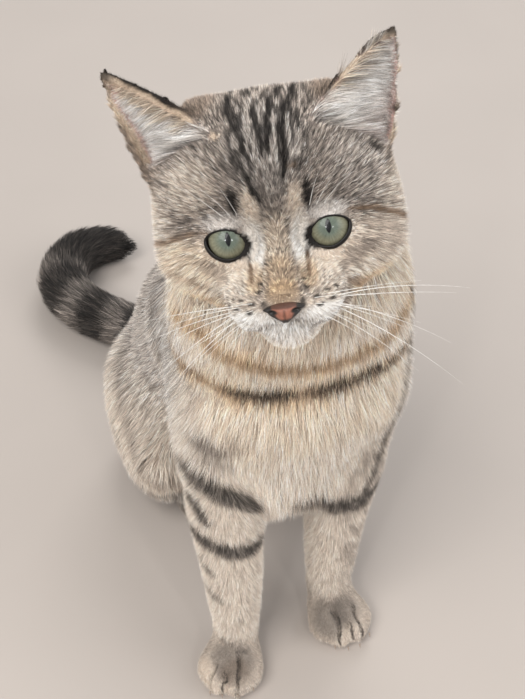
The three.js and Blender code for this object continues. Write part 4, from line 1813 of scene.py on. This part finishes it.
    def colours(self, roots: Roots) -> Array:
        """Paints the tufts with the markings, each with its own dark root and light tip.

        Args:
            roots: The roots.

        Returns:
            The colour of every corner.
        """
        coat, rng, count = self.coat, self.rng, len(roots.place)
        along = rng.uniform(0.5, 0.95, count) * roots.length * np.cos(roots.rise) * MM
        seen = roots.marked + roots.flow * along[:, None]
        base, ticked = self.markings.tones(seen, roots.shares, roots.ears, True)
        draw = coat.lock_share * roots.luck[:, 0] + (1 - coat.lock_share) * rng.random(count)
        reach = 0.35 + 1.75 * ticked
        strength = np.exp((2 * draw - 1) * reach) * reach / np.sinh(reach) * 1.12
        bands = np.array([0.68, 0.68, 0.95, 0.95, 1.15] if coat.bent else [0.74, 0.74, 1.15])
        return base[:, None] * strength[:, None, None] * bands[None, :, None]

    def unrolled(self, roots: Roots) -> Array:
        """Unrolls the roots of the area round its line, for the bake map.

        Args:
            roots: The roots.

        Returns:
            Two numbers from 0 to 1 for each root.
        """
        coat = self.coat
        line = np.array(coat.line, float)
        place, facing = roots.place / MM, roots.normal
        if coat.space is Space.HEAD:
            place = self.skin.head.enter(roots.place)
            facing = roots.normal @ self.skin.head.axes
        share = near_line(place, line)[1]
        steps = np.diff(line, axis=0)
        lengths = np.concatenate([[0], np.cumsum(np.linalg.norm(steps, axis=1))])
        lengths /= lengths[-1]
        on_line = np.stack([np.interp(share, lengths, line[:, i]) for i in range(3)], axis=1)
        step = np.searchsorted(lengths, share, side="right").clip(1, len(steps)) - 1
        axis = unit(steps)[step]
        back = np.array([0.0, 0.0, 1.0]) if abs(axis[0, 2]) < 0.7 else np.array([0.0, 1.0, 0.0])
        forward = unit(back - axis * (axis @ back)[:, None])
        out = place - on_line
        aside = np.sum(out * np.cross(axis, forward), axis=1)
        across = np.arctan2(aside, -np.sum(out * forward, axis=1)) / (2 * math.pi) + 0.5
        up = share
        if coat.round_ball:
            middle = line.mean(axis=0)
            flat = np.hypot(place[:, 0] - middle[0], place[:, 1] - middle[1])
            up = np.arctan2(place[:, 2] - middle[2], flat) / math.pi + 0.5
        if coat.two_faced:
            up = up / 2 + 0.5 * (facing[:, 1] > 0)
        return np.stack([across, up], axis=1)

    def make_pieces(self, bodies: Array, colours: Array, flat: Array,
                    finish: Material) -> None:
        """Makes the meshes of the area, in as many pieces as it needs.

        Args:
            bodies: The corners of every tuft.
            colours: The colours of the corners.
            flat: The place of every root on the bake map.
            finish: The material of the coat.
        """
        triangles = (bodies.shape[1] - 2) * len(bodies)
        number = math.ceil(triangles / MOST_TRIANGLES)
        order = np.argsort(flat[:, 0], kind="stable")
        for i, own in enumerate(np.array_split(order, number)):
            name = self.coat.name if number == 1 else f"{self.coat.name}_{i + 1}"
            mesh = self.make_mesh(name, bodies[own], colours[own], flat[own])
            mesh.materials.append(finish)
            finish_piece(place_in_scene(name, mesh), COAT_SLOT)

    def make_mesh(self, name: str, bodies: Array, colours: Array,
                  flat: Array) -> Mesh:
        """Joins tufts into one mesh.

        Args:
            name: The mesh's name.
            bodies: The corners of every tuft.
            colours: The colours of the corners.
            flat: The place of every root on the bake map.

        Returns:
            The mesh.
        """
        count, corners = bodies.shape[:2]
        bent = corners == 5
        pattern = np.array([0, 1, 3, 2, 2, 3, 4] if bent else [0, 1, 2])
        first_loops = np.array([0, 4] if bent else [0])
        outline = np.array([[-0.5, 0], [0.5, 0], [-0.5, 0.5], [0.5, 0.5], [0, 1]] if bent
                           else [[-0.5, 0], [0.5, 0], [0, 1]])
        loops = (np.arange(count)[:, None] * corners + pattern).ravel()
        starts = (np.arange(count)[:, None] * len(pattern) + first_loops).ravel()
        mesh = bpy.data.meshes.new(name)
        mesh.vertices.add(count * corners)
        mesh.vertices.foreach_set("co", bodies.ravel())
        mesh.loops.add(len(loops))
        mesh.loops.foreach_set("vertex_index", loops.astype(np.int32))
        mesh.polygons.add(len(starts))
        mesh.polygons.foreach_set("loop_start", starts.astype(np.int32))
        mesh.polygons.foreach_set("use_smooth", np.ones(len(starts), bool))
        mesh.update(calc_edges=True)
        paint(mesh, colours.reshape(-1, 3))
        low, high = flat.min(axis=0), flat.max(axis=0)
        place = 2 * self.patch + (flat - low) / (high - low) * (1 - 4 * self.patch)
        patches = place[:, None] + outline[pattern][None] * self.patch
        layer = mesh.uv_layers.new(name=BAKE_MAP)
        layer.data.foreach_set("uv", patches.astype(np.float32).ravel())
        return mesh


# ---------------- eyes, nose and whiskers


def place_piece(name: str, finish: Material) -> Piece:
    """Names the new active object, puts its place in its mesh and dresses it.

    Args:
        name: The piece's name.
        finish: Its material.

    Returns:
        The piece.
    """
    piece = bpy.context.object
    piece.name = piece.data.name = name
    make_active(piece)
    bpy.ops.object.transform_apply(location=True, rotation=True, scale=True)
    piece.data.materials.clear()
    piece.data.materials.append(finish)
    bpy.ops.object.shade_smooth()
    return piece


@dataclass
class Eye:
    """One eyeball with its cornea, and the dark rim of its lids."""

    head: HeadFrame
    opening: EyeOpening
    gaze: Place = (-170.0, -667.8, 735.0)   # mm, what the cat looks at
    cornea_bulge: float = 0.7    # mm
    rim_rings: int = 72
    rim_sides: int = 10
    rim_out: float = 0.75        # mm that the rim lies off the eyeball
    rim_grow: float = 0.5        # mm that the middle of the rim lies outside the opening
    rim_thin: float = 0.4        # mm, half width of the rim above
    rim_thick: float = 1.15      # mm, half width of the rim below and at the corners
    rim_inner: float = 0.25      # mm that it is wider at the inner corner
    rim_height: float = 0.55     # mm, half of its height over the eyeball

    @property
    def name(self) -> str:
        """The side as it is in the names of the nodes."""
        return "right" if self.opening.side == RIGHT else "left"

    @property
    def middle(self) -> Array:
        """The middle of the eyeball, in metres."""
        return self.head.leave(self.opening.centre)

    def view_axes(self) -> Array:
        """The eye's own axes as columns: to the side, up and where it looks.

        Returns:
            One axis in each column.
        """
        ahead = unit(np.array(self.gaze) * MM - self.middle)
        up = self.head.axes[:, 2]
        up = unit(up - ahead * (up @ ahead))
        return np.stack([np.cross(up, ahead), up, ahead], axis=1)

    def build(self) -> None:
        """Makes the eyeball and the rim."""
        self.build_ball()
        self.build_rim()

    def build_ball(self) -> None:
        """Makes the eyeball, its pole where it looks and its front bulged to a cornea."""
        axes = self.view_axes()
        turn = Matrix(axes.tolist()).to_euler()
        bpy.ops.mesh.primitive_uv_sphere_add(segments=72, ring_count=48, rotation=turn,
                                             radius=self.opening.radius * MM,
                                             location=self.middle)
        finish = EyeFinish(f"eye_{self.name}_glass").make(self.middle, axes)
        piece = place_piece(f"eyeball_{self.name}", finish)
        points = read_points(piece.data)
        ahead = unit(points - self.middle) @ axes[:, 2]
        bulge = ease(0.62, 1.0, ahead) * self.cornea_bulge * MM
        write_points(piece.data, points + unit(points - self.middle) * bulge[:, None])
        finish_piece(piece, EYE_SLOT, f"eye_{self.name}")

    def build_rim(self) -> None:
        """Lays a round rim along the edges of both lids."""
        bpy.ops.mesh.primitive_torus_add(major_segments=self.rim_rings,
                                         minor_segments=self.rim_sides)
        piece = place_piece(f"lid_rim_{self.name}", RIM.make())
        ring, side = np.divmod(np.arange(self.rim_rings * self.rim_sides), self.rim_sides)
        angles = ring * 2 * math.pi / self.rim_rings
        turn = side * 2 * math.pi / self.rim_sides
        middle = self.opening.edge(angles, self.rim_grow, self.rim_out)
        ahead = self.opening.edge(angles + 0.02, self.rim_grow, self.rim_out)
        outward = unit(middle - self.opening.centre)
        along = unit(ahead - middle)
        across = np.cross(along, outward)
        low = ease(0.5, -0.6, np.sin(angles))
        half = self.rim_thin + (self.rim_thick - self.rim_thin) * low
        half += self.rim_inner * ease(-0.86, -1.0, np.cos(angles))
        shape = across * (np.cos(turn) * half)[:, None]
        shape += outward * (np.sin(turn) * self.rim_height)[:, None]
        write_points(piece.data, self.head.leave(middle + shape))
        make_active(piece)
        edit_all(bpy.ops.mesh.normals_make_consistent, inside=False)
        finish_piece(piece, COAT_SLOT)


@dataclass
class Nose:
    """The nose leather with its two nostrils."""

    head: HeadFrame
    centre: Place = (0.0, -28.8, -22.5)     # mm, in the head's frame
    reach: Place = (8.7, 5.2, 5.8)          # mm
    waist: float = 0.62          # share of its width lost at its lower end
    nostril: Place = (4.8, -32.8, -22.8)
    nostril_depth: float = 2.4   # mm
    groove_depth: float = 0.7    # mm, of the line down its middle

    def build(self) -> None:
        """Makes the nose leather, its dark outline, and painted shade in its nostrils and its middle
        groove.
        """
        bpy.ops.mesh.primitive_uv_sphere_add(segments=96, ring_count=64, radius=1.0)
        piece = place_piece("nose_leather", LEATHER.make())
        ball = read_points(piece.data)
        down = ease(0.35, -1.0, ball[:, 2])
        across = ball[:, 0] * (1 - self.waist * down)
        front = ball[:, 1] * (1 - 0.25 * ease(0.2, 1.0, np.abs(ball[:, 0])))
        flat_top = np.where(ball[:, 2] > 0, ball[:, 2] * 0.4, ball[:, 2])
        lobes = 0.10 * np.exp(-(((np.abs(ball[:, 0]) - 0.78) / 0.22) ** 2))
        lobes *= ease(0.6, -0.2, ball[:, 2])
        place = np.stack([across * (1 + lobes), front, flat_top], axis=1) * self.reach
        place += self.centre
        hollow = np.zeros(len(place))
        for side in (RIGHT, LEFT):
            middle = np.array(self.nostril) * (side, 1, 1)
            away = (place - middle) / (1.9, 4.0, 1.15)
            tail = (place - middle - (side * 2.4, 1.6, -0.5)) / (2.0, 4.0, 0.7)
            hollow = np.maximum(hollow, np.exp(-np.sum(away**2, axis=1)))
            hollow = np.maximum(hollow, 0.8 * np.exp(-np.sum(tail**2, axis=1)))
        groove = np.exp(-((place[:, 0] / 0.55) ** 2)) * ease(-20.5, -22.5, place[:, 2])
        place[:, 1] += hollow * self.nostril_depth + groove * self.groove_depth
        edge = np.maximum(ease(0.42, 0.64, np.abs(ball[:, 0])), ease(-0.4, -0.7, ball[:, 2]))
        edge = np.maximum(edge, 0.7 * ease(0.3, 0.7, ball[:, 2]))
        # darker in the nostril hollows and the middle groove as painted shade; the dark edge is the
        # leather's own outline
        dark = np.maximum.reduce([ease(0.2, 0.5, hollow), edge, 0.5 * groove])
        colour = np.tile(linear(148, 95, 76), (len(place), 1))
        Markings.tint(colour, Tone.DARK, dark)
        paint(piece.data, colour)
        write_points(piece.data, self.head.leave(place))
        finish_piece(piece, NOSE_SLOT, "nose")


def hair_tube(line: Array, radii: Array, sides: int) -> tuple[Array, Array]:
    """Shapes a thin round hair along a line.

    Args:
        line: Places along its middle.
        radii: Its radius at each place.
        sides: How many sides it has.

    Returns:
        Its corners, and its four-sided faces as numbers of corners.
    """
    along = unit(np.gradient(line, axis=0))
    aside = unit(np.cross(along, np.array([0.13, 0.31, 0.94])))
    above = np.cross(aside, along)
    turn = np.arange(sides) * 2 * math.pi / sides
    ring = aside[:, None] * np.cos(turn)[None, :, None] + above[:, None] * np.sin(turn)[None, :, None]
    corners = (line[:, None] + ring * radii[:, None, None]).reshape(-1, 3)
    rows, columns = np.meshgrid(np.arange(len(line) - 1), np.arange(sides), indexing="ij")
    here, beside = rows * sides + columns, rows * sides + (columns + 1) % sides
    faces = np.stack([here, beside, beside + sides, here + sides], axis=-1).reshape(-1, 4)
    return corners, faces


@dataclass
class Whiskers:
    """The whiskers of the upper lip and the longer hairs over the eyes."""

    head: HeadFrame
    rows: int = 4
    each_row: int = 3
    length: float = 58.0         # mm, of the longest
    radius: float = 0.17         # mm, at the root
    steps: int = 14
    sides: int = 4

    def build(self) -> None:
        """Makes all whiskers as one piece."""
        rng = np.random.default_rng(SEED)
        corners, faces, start = [], [], 0
        for root, way, length in self.all_hairs(rng):
            share = np.linspace(0, 1, self.steps)[:, None]
            sag = np.array([0, 0.10, -0.24 + 0.16 * rng.random()])
            line = root + length * (way * share + sag * share**2)
            radii = self.radius * (1 - 0.9 * share[:, 0]) * (0.35 + length / self.length)
            points, quads = hair_tube(line, radii, self.sides)
            corners.append(points)
            faces.append(quads + start)
            start += len(points)
        mesh = bpy.data.meshes.new("whiskers")
        mesh.from_pydata(self.head.leave(np.concatenate(corners)), [],
                         np.concatenate(faces).tolist())
        mesh.materials.append(WHISKER.make())
        piece = place_in_scene("whiskers", mesh)
        make_active(piece)
        bpy.ops.object.shade_smooth()
        finish_piece(piece, COAT_SLOT)

    def all_hairs(self, rng: Draws) -> list[tuple[Array, Array, float]]:
        """The root, the way and the length of every whisker, in the head's frame, in mm.

        Args:
            rng: Draws the random numbers.

        Returns:
            The root, the way and the length of each.
        """
        hairs = []
        for side in (RIGHT, LEFT):
            for row in range(self.rows):
                for number in range(self.each_row):
                    back = number / (self.each_row - 1)
                    down = row / (self.rows - 1)
                    root = np.array([side * (12.5 + 9 * back), -25 + 11 * back + 2 * down,
                                     -20.5 - 7 * down - 2 * back])
                    root += rng.normal(0, 0.5, 3)
                    way = unit(np.array([side * 1.0, -0.18 + 0.25 * back,
                                         0.08 - 0.62 * down + rng.normal(0, 0.07)]))
                    length = self.length * (0.55 + 0.45 * back) * rng.uniform(0.75, 1.0)
                    hairs.append((root, way, length))
            for number in range(3):
                root = np.array([side * (15 + 3 * number), -4.0, 13.0])
                way = unit(np.array([side * (0.25 + 0.2 * number), -0.55, 0.85]))
                hairs.append((root, way, 24.0 + 4 * rng.random()))
        return hairs


@dataclass
class Claws:
    """The tips of the claws that show between the toes of the forepaws."""

    tips: Line = (
        (-50, -183, 5), (-44, -187, 5.5), (-35, -191, 6), (-26, -188, 6),
        (27, -173, 6), (34, -176, 6), (41, -176, 6), (49, -170, 6),
    )
    length: float = 2.6          # mm
    radius: float = 0.6          # mm
    dip: float = 38.0            # degrees that they point down
    hook: float = 1.0            # mm that the tip is bent

    def build(self) -> None:
        """Makes one claw and copies it to every toe, joined as one piece."""
        bpy.ops.mesh.primitive_cone_add(vertices=10, radius1=self.radius * MM, radius2=0.1 * MM,
                                        depth=self.length * MM, end_fill_type="NGON")
        first = place_piece("claws", CLAW.make())
        edit_all(bpy.ops.mesh.subdivide, number_cuts=2)
        shape = read_points(first.data)
        bend = (shape[:, 2] / (self.length * MM) + 0.5) ** 2
        shape[:, 1] -= bend * self.hook * MM
        write_points(first.data, shape)
        copies = []
        for tip in self.tips:
            copy = place_in_scene("claw", first.data.copy())
            angle = Euler((math.radians(90 + self.dip), 0, 0))
            copy.data.transform(Matrix.Translation(Vector(tip) * MM) @ angle.to_matrix().to_4x4())
            copies.append(copy)
        bpy.data.objects.remove(first)
        finish_piece(join_pieces(copies, "claws"), COAT_SLOT)


# ---------------- finishes


class Nodes:
    """Adds and links the nodes of one material."""

    def __init__(self, name: str) -> None:
        """Makes the material.

        Args:
            name: The material's name.
        """
        self.material = bpy.data.materials.new(name)
        self.material.use_nodes = True
        self.tree = self.material.node_tree
        self.shader = self.tree.nodes["Principled BSDF"]

    def add(self, kind: str, **inputs: object) -> bpy.types.Node:
        """Adds a node.

        Args:
            kind: Its type, without the leading ShaderNode.
            inputs: Its settings and inputs by name, _ for a space. An output is linked.

        Returns:
            The node.
        """
        node = self.tree.nodes.new(f"ShaderNode{kind}")
        for name, value in inputs.items():
            if name in ("operation", "data_type"):
                setattr(node, name, value)
                continue
            socket = node.inputs[int(name[1:])] if name[0] == "i" and name[1:].isdigit() else (
                node.inputs[name.replace("_", " ")])
            if isinstance(value, Socket):
                self.tree.links.new(value, socket)
            else:
                socket.default_value = value
        return node

    def tinted(self, shade: Socket) -> None:
        """Colours the shader with the piece's own markings, times a shade.

        Args:
            shade: What the markings are multiplied by.
        """
        tone = self.add("Attribute")
        tone.attribute_name = COLOUR_LAYER
        mixed = self.add("VectorMath", operation="SCALE", i0=tone.outputs["Color"], Scale=shade)
        self.link(mixed.outputs["Vector"], "Base Color")

    def value(self, operation: str, *inputs: object) -> Socket:
        """The result of a sum on numbers, such as MULTIPLY."""
        named = {f"i{i}": value for i, value in enumerate(inputs)}
        return self.add("Math", operation=operation, **named).outputs[0]

    def vector(self, operation: str, *inputs: object, out: int = 0) -> Socket:
        """The result of a sum on vectors, such as DOT_PRODUCT."""
        named = {f"i{i}": value for i, value in enumerate(inputs)}
        return self.add("VectorMath", operation=operation, **named).outputs[out]

    def place(self) -> Socket:
        """The place on the piece, in metres."""
        return self.add("TexCoord").outputs["Object"]

    def noise(self, where: object, scale: float, detail: float = 3.0) -> Socket:
        """Noise of a scale at some place."""
        node = self.add("TexNoise", Vector=where, Scale=scale, Detail=detail)
        return node.outputs["Fac"]

    def spread(self, value: object, low: float, high: float, start: float = 0.3,
               end: float = 0.7) -> Socket:
        """Brings a value from one range to another.

        Args:
            value: The value.
            low: The result at the start of its range.
            high: The result at the end.
            start: Where its range starts.
            end: Where its range ends.

        Returns:
            The result.
        """
        node = self.add("MapRange", Value=value, From_Min=start, From_Max=end, To_Min=low,
                        To_Max=high)
        return node.outputs["Result"]

    def ramp(self, value: object, stops: list[tuple[float, Array]]) -> Socket:
        """Turns a value into a colour by a row of stops.

        Args:
            value: The value.
            stops: The place and the colour of each stop.

        Returns:
            The colour.
        """
        node = self.add("ValToRGB", Fac=value)
        elements = node.color_ramp.elements
        while len(elements) < len(stops):
            elements.new(0.5)
        for element, (place, colour) in zip(elements, stops):
            element.position = place
            element.color = (*colour, 1)
        return node.outputs["Color"]

    def bump(self, height: object, strength: float, distance: float) -> None:
        """Gives the surface relief. The distance is in metres."""
        node = self.add("Bump", Height=height, Strength=strength, Distance=distance)
        self.link(node.outputs["Normal"], "Normal")

    def link(self, source: Socket, name: str) -> None:
        """Links an output to the shader."""
        self.tree.links.new(source, self.shader.inputs[name])

    def set(self, **values: float) -> None:
        """Sets numbers on the shader itself, _ for a space."""
        for name, value in values.items():
            self.shader.inputs[name.replace("_", " ")].default_value = value


@dataclass(frozen=True)
class CoatFinish:
    """The finish of hair, or of the skin between it, tinted by the markings."""

    name: str
    grain: float                 # scale of the finest mottling
    relief: float
    roughness: float
    shade: float = 0.85          # darkest mottling as a share of the markings' tone
    sheen: float = 0.0

    def make(self) -> Material:
        """Makes the material.

        Returns:
            The material.
        """
        nodes = Nodes(self.name)
        place = nodes.place()
        noise = nodes.noise(place, self.grain)
        nodes.tinted(nodes.spread(noise, self.shade, 2 - self.shade))
        nodes.link(nodes.spread(nodes.noise(place, 60.0), self.roughness - 0.06,
                                self.roughness + 0.06), "Roughness")
        nodes.bump(noise, self.relief, 0.0004)
        nodes.set(Sheen_Weight=self.sheen, Specular_IOR_Level=0.3)
        return nodes.material


@dataclass(frozen=True)
class LeatherFinish:
    """The finish of bare leathery skin, pebbled and a little moist."""

    name: str
    pebble: float = 2600.0
    roughness: float = 0.42
    wet: float = 0.1

    def make(self) -> Material:
        """Makes the material.

        Returns:
            The material.
        """
        nodes = Nodes(self.name)
        place = nodes.place()
        cells = nodes.add("TexVoronoi", Vector=place, Scale=self.pebble).outputs["Distance"]
        nodes.tinted(nodes.spread(nodes.noise(place, 700.0), 0.86, 1.14))
        nodes.link(nodes.spread(cells, self.roughness, self.roughness + 0.2, 0.0, 1.0),
                   "Roughness")
        nodes.bump(cells, 0.35, 0.0003)
        nodes.set(Coat_Weight=self.wet, Coat_Roughness=0.3)
        return nodes.material


@dataclass(frozen=True)
class PlainFinish:
    """The finish of lid rims, whiskers and claws: one tone with fine mottling."""

    name: str
    tone: tuple[int, int, int]
    grain: float
    roughness: float
    wet: float = 0.0

    def make(self) -> Material:
        """Makes the material.

        Returns:
            The material.
        """
        nodes = Nodes(self.name)
        noise = nodes.noise(nodes.place(), self.grain)
        base = linear(*self.tone)
        nodes.link(nodes.ramp(noise, [(0.3, base * 0.8), (0.7, np.minimum(base * 1.2, 1))]),
                   "Base Color")
        nodes.link(nodes.spread(noise, self.roughness - 0.08, self.roughness + 0.08),
                   "Roughness")
        nodes.bump(noise, 0.2, 0.0002)
        nodes.set(Coat_Weight=self.wet, Coat_Roughness=0.15, Specular_IOR_Level=0.25)
        return nodes.material


@dataclass(frozen=True)
class EyeFinish:
    """The finish of an eyeball: a slit pupil, a fibrous iris and a dark edge of painted shade from
    the lids, under gloss.
    """

    name: str
    iris: float = 8.3            # mm, radius
    slit: tuple[float, float] = (1.25, 3.1)       # mm, half width and half height
    inner: tuple[int, int, int] = (80, 88, 77)
    middle: tuple[int, int, int] = (98, 106, 95)
    outer: tuple[int, int, int] = (125, 123, 102)
    # painted shade of the lids, over the ball beyond the iris
    edge: tuple[int, int, int] = (22, 17, 15)

    def make(self, centre: Array, axes: Array) -> Material:
        """Makes the material.

        Args:
            centre: The middle of the eyeball, in metres.
            axes: The eye's own axes as columns: to the side, up and where it looks.

        Returns:
            The material.
        """
        nodes = Nodes(self.name)
        away = nodes.vector("SUBTRACT", nodes.place(), tuple(centre))
        side, up, ahead = (nodes.vector("DOT_PRODUCT", away, tuple(axes[:, i]), out=1)
                           for i in range(3))
        reach = nodes.value("SQRT", nodes.value("ADD", nodes.value("MULTIPLY", side, side),
                                                nodes.value("MULTIPLY", up, up)))
        share = nodes.value("DIVIDE", reach, self.iris * MM)
        spokes = nodes.add("CombineXYZ", X=nodes.value("DIVIDE", side, reach),
                           Y=nodes.value("DIVIDE", up, reach),
                           Z=nodes.value("MULTIPLY", share, 0.35)).outputs[0]
        fibres = nodes.spread(nodes.noise(spokes, 9.0, 6.0), 0.80, 1.20)
        blotches = nodes.spread(nodes.noise(away, 420.0, 2.0), 0.93, 1.07)
        stops = [(0.0, linear(*self.inner)), (0.42, linear(*self.middle)),
                 (0.80, linear(*self.outer)), (0.93, linear(*self.outer) * 0.7),
                 (1.0, linear(*self.edge))]
        iris = nodes.ramp(share, stops)
        iris = nodes.add("VectorMath", operation="SCALE", i0=iris,
                         Scale=nodes.value("MULTIPLY", fibres, blotches)).outputs[0]
        across = nodes.value("POWER", nodes.value("ABSOLUTE", nodes.value(
            "DIVIDE", side, self.slit[0] * MM)), 1.6)
        along = nodes.value("POWER", nodes.value("ABSOLUTE", nodes.value(
            "DIVIDE", up, self.slit[1] * MM)), 1.6)
        slit = nodes.spread(nodes.value("ADD", across, along), 1.0, 0.0, 0.8, 1.15)
        # the back of the ball is painted near black as the shade inside the socket
        behind = nodes.spread(ahead, 1.0, 0.0, -0.001, 0.001)
        dark = nodes.value("MAXIMUM", slit, behind)
        mixed = nodes.add("Mix", data_type="RGBA", Factor=dark, i6=iris,
                          i7=(0.006, 0.006, 0.007, 1))
        nodes.link(mixed.outputs[2], "Base Color")
        nodes.link(nodes.spread(nodes.noise(away, 900.0), 0.22, 0.30), "Roughness")
        nodes.set(Coat_Weight=0.32, Coat_Roughness=0.02, Coat_IOR=1.5, Specular_IOR_Level=0.15)
        return nodes.material


HAIR = CoatFinish("hair", 900.0, 0.1, 0.62, 0.93, 0.1)
HIDE = CoatFinish("hide", 1400.0, 0.6, 0.8, 0.85)
LEATHER = LeatherFinish("nose_leather")
RIM = PlainFinish("lid_skin", (20, 16, 14), 1800.0, 0.5, 0.1)
WHISKER = PlainFinish("whisker", (236, 232, 226), 500.0, 0.4)
CLAW = PlainFinish("claw", (158, 142, 128), 900.0, 0.35, 0.2)


# ---------------- the whole animal


def finish_skin(skin: Skin, markings: Markings) -> None:
    """Paints the skin, with painted shade in the mouth groove and the toe clefts, and hands it over
    as the piece that stands for the flesh.

    Args:
        skin: The skin, shaped.
        markings: The tones of the coat.
    """
    colours, _ = markings.tones(skin.marked_points(), skin.shares, skin.ears, False)
    # painted shade: the skin is darkened in the mouth groove and the clefts between the toes
    Markings.tint(colours, Tone.DARK, 0.8 * skin.crease_shade)
    paint(skin.piece.data, colours * 0.8)
    skin.piece.data.materials.append(HIDE.make())
    make_active(skin.piece)
    bpy.ops.object.shade_smooth()
    finish_piece(skin.piece, COAT_SLOT, *skin.flesh)


def main() -> None:
    """Builds the animal and its studio."""
    logging.basicConfig(level=logging.INFO, format="%(message)s", force=True)
    deselect_all()
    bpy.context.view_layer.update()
    Studio().build()
    head = HeadFrame()
    eyes = (EyeOpening(RIGHT), EyeOpening(LEFT))
    skin = Skin(head, eyes)
    skin.build()
    markings = Markings(head, np.array(TAIL_LINE, float), skin.marked_surface())
    finish_skin(skin, markings)
    for opening in eyes:
        Eye(head, opening).build()
    Nose(head).build()
    Whiskers(head).build()
    Claws().build()
    CoatMaker(skin, markings, Lay(skin).build()).build(HAIR.make())


if __name__ == "__main__":
    main()
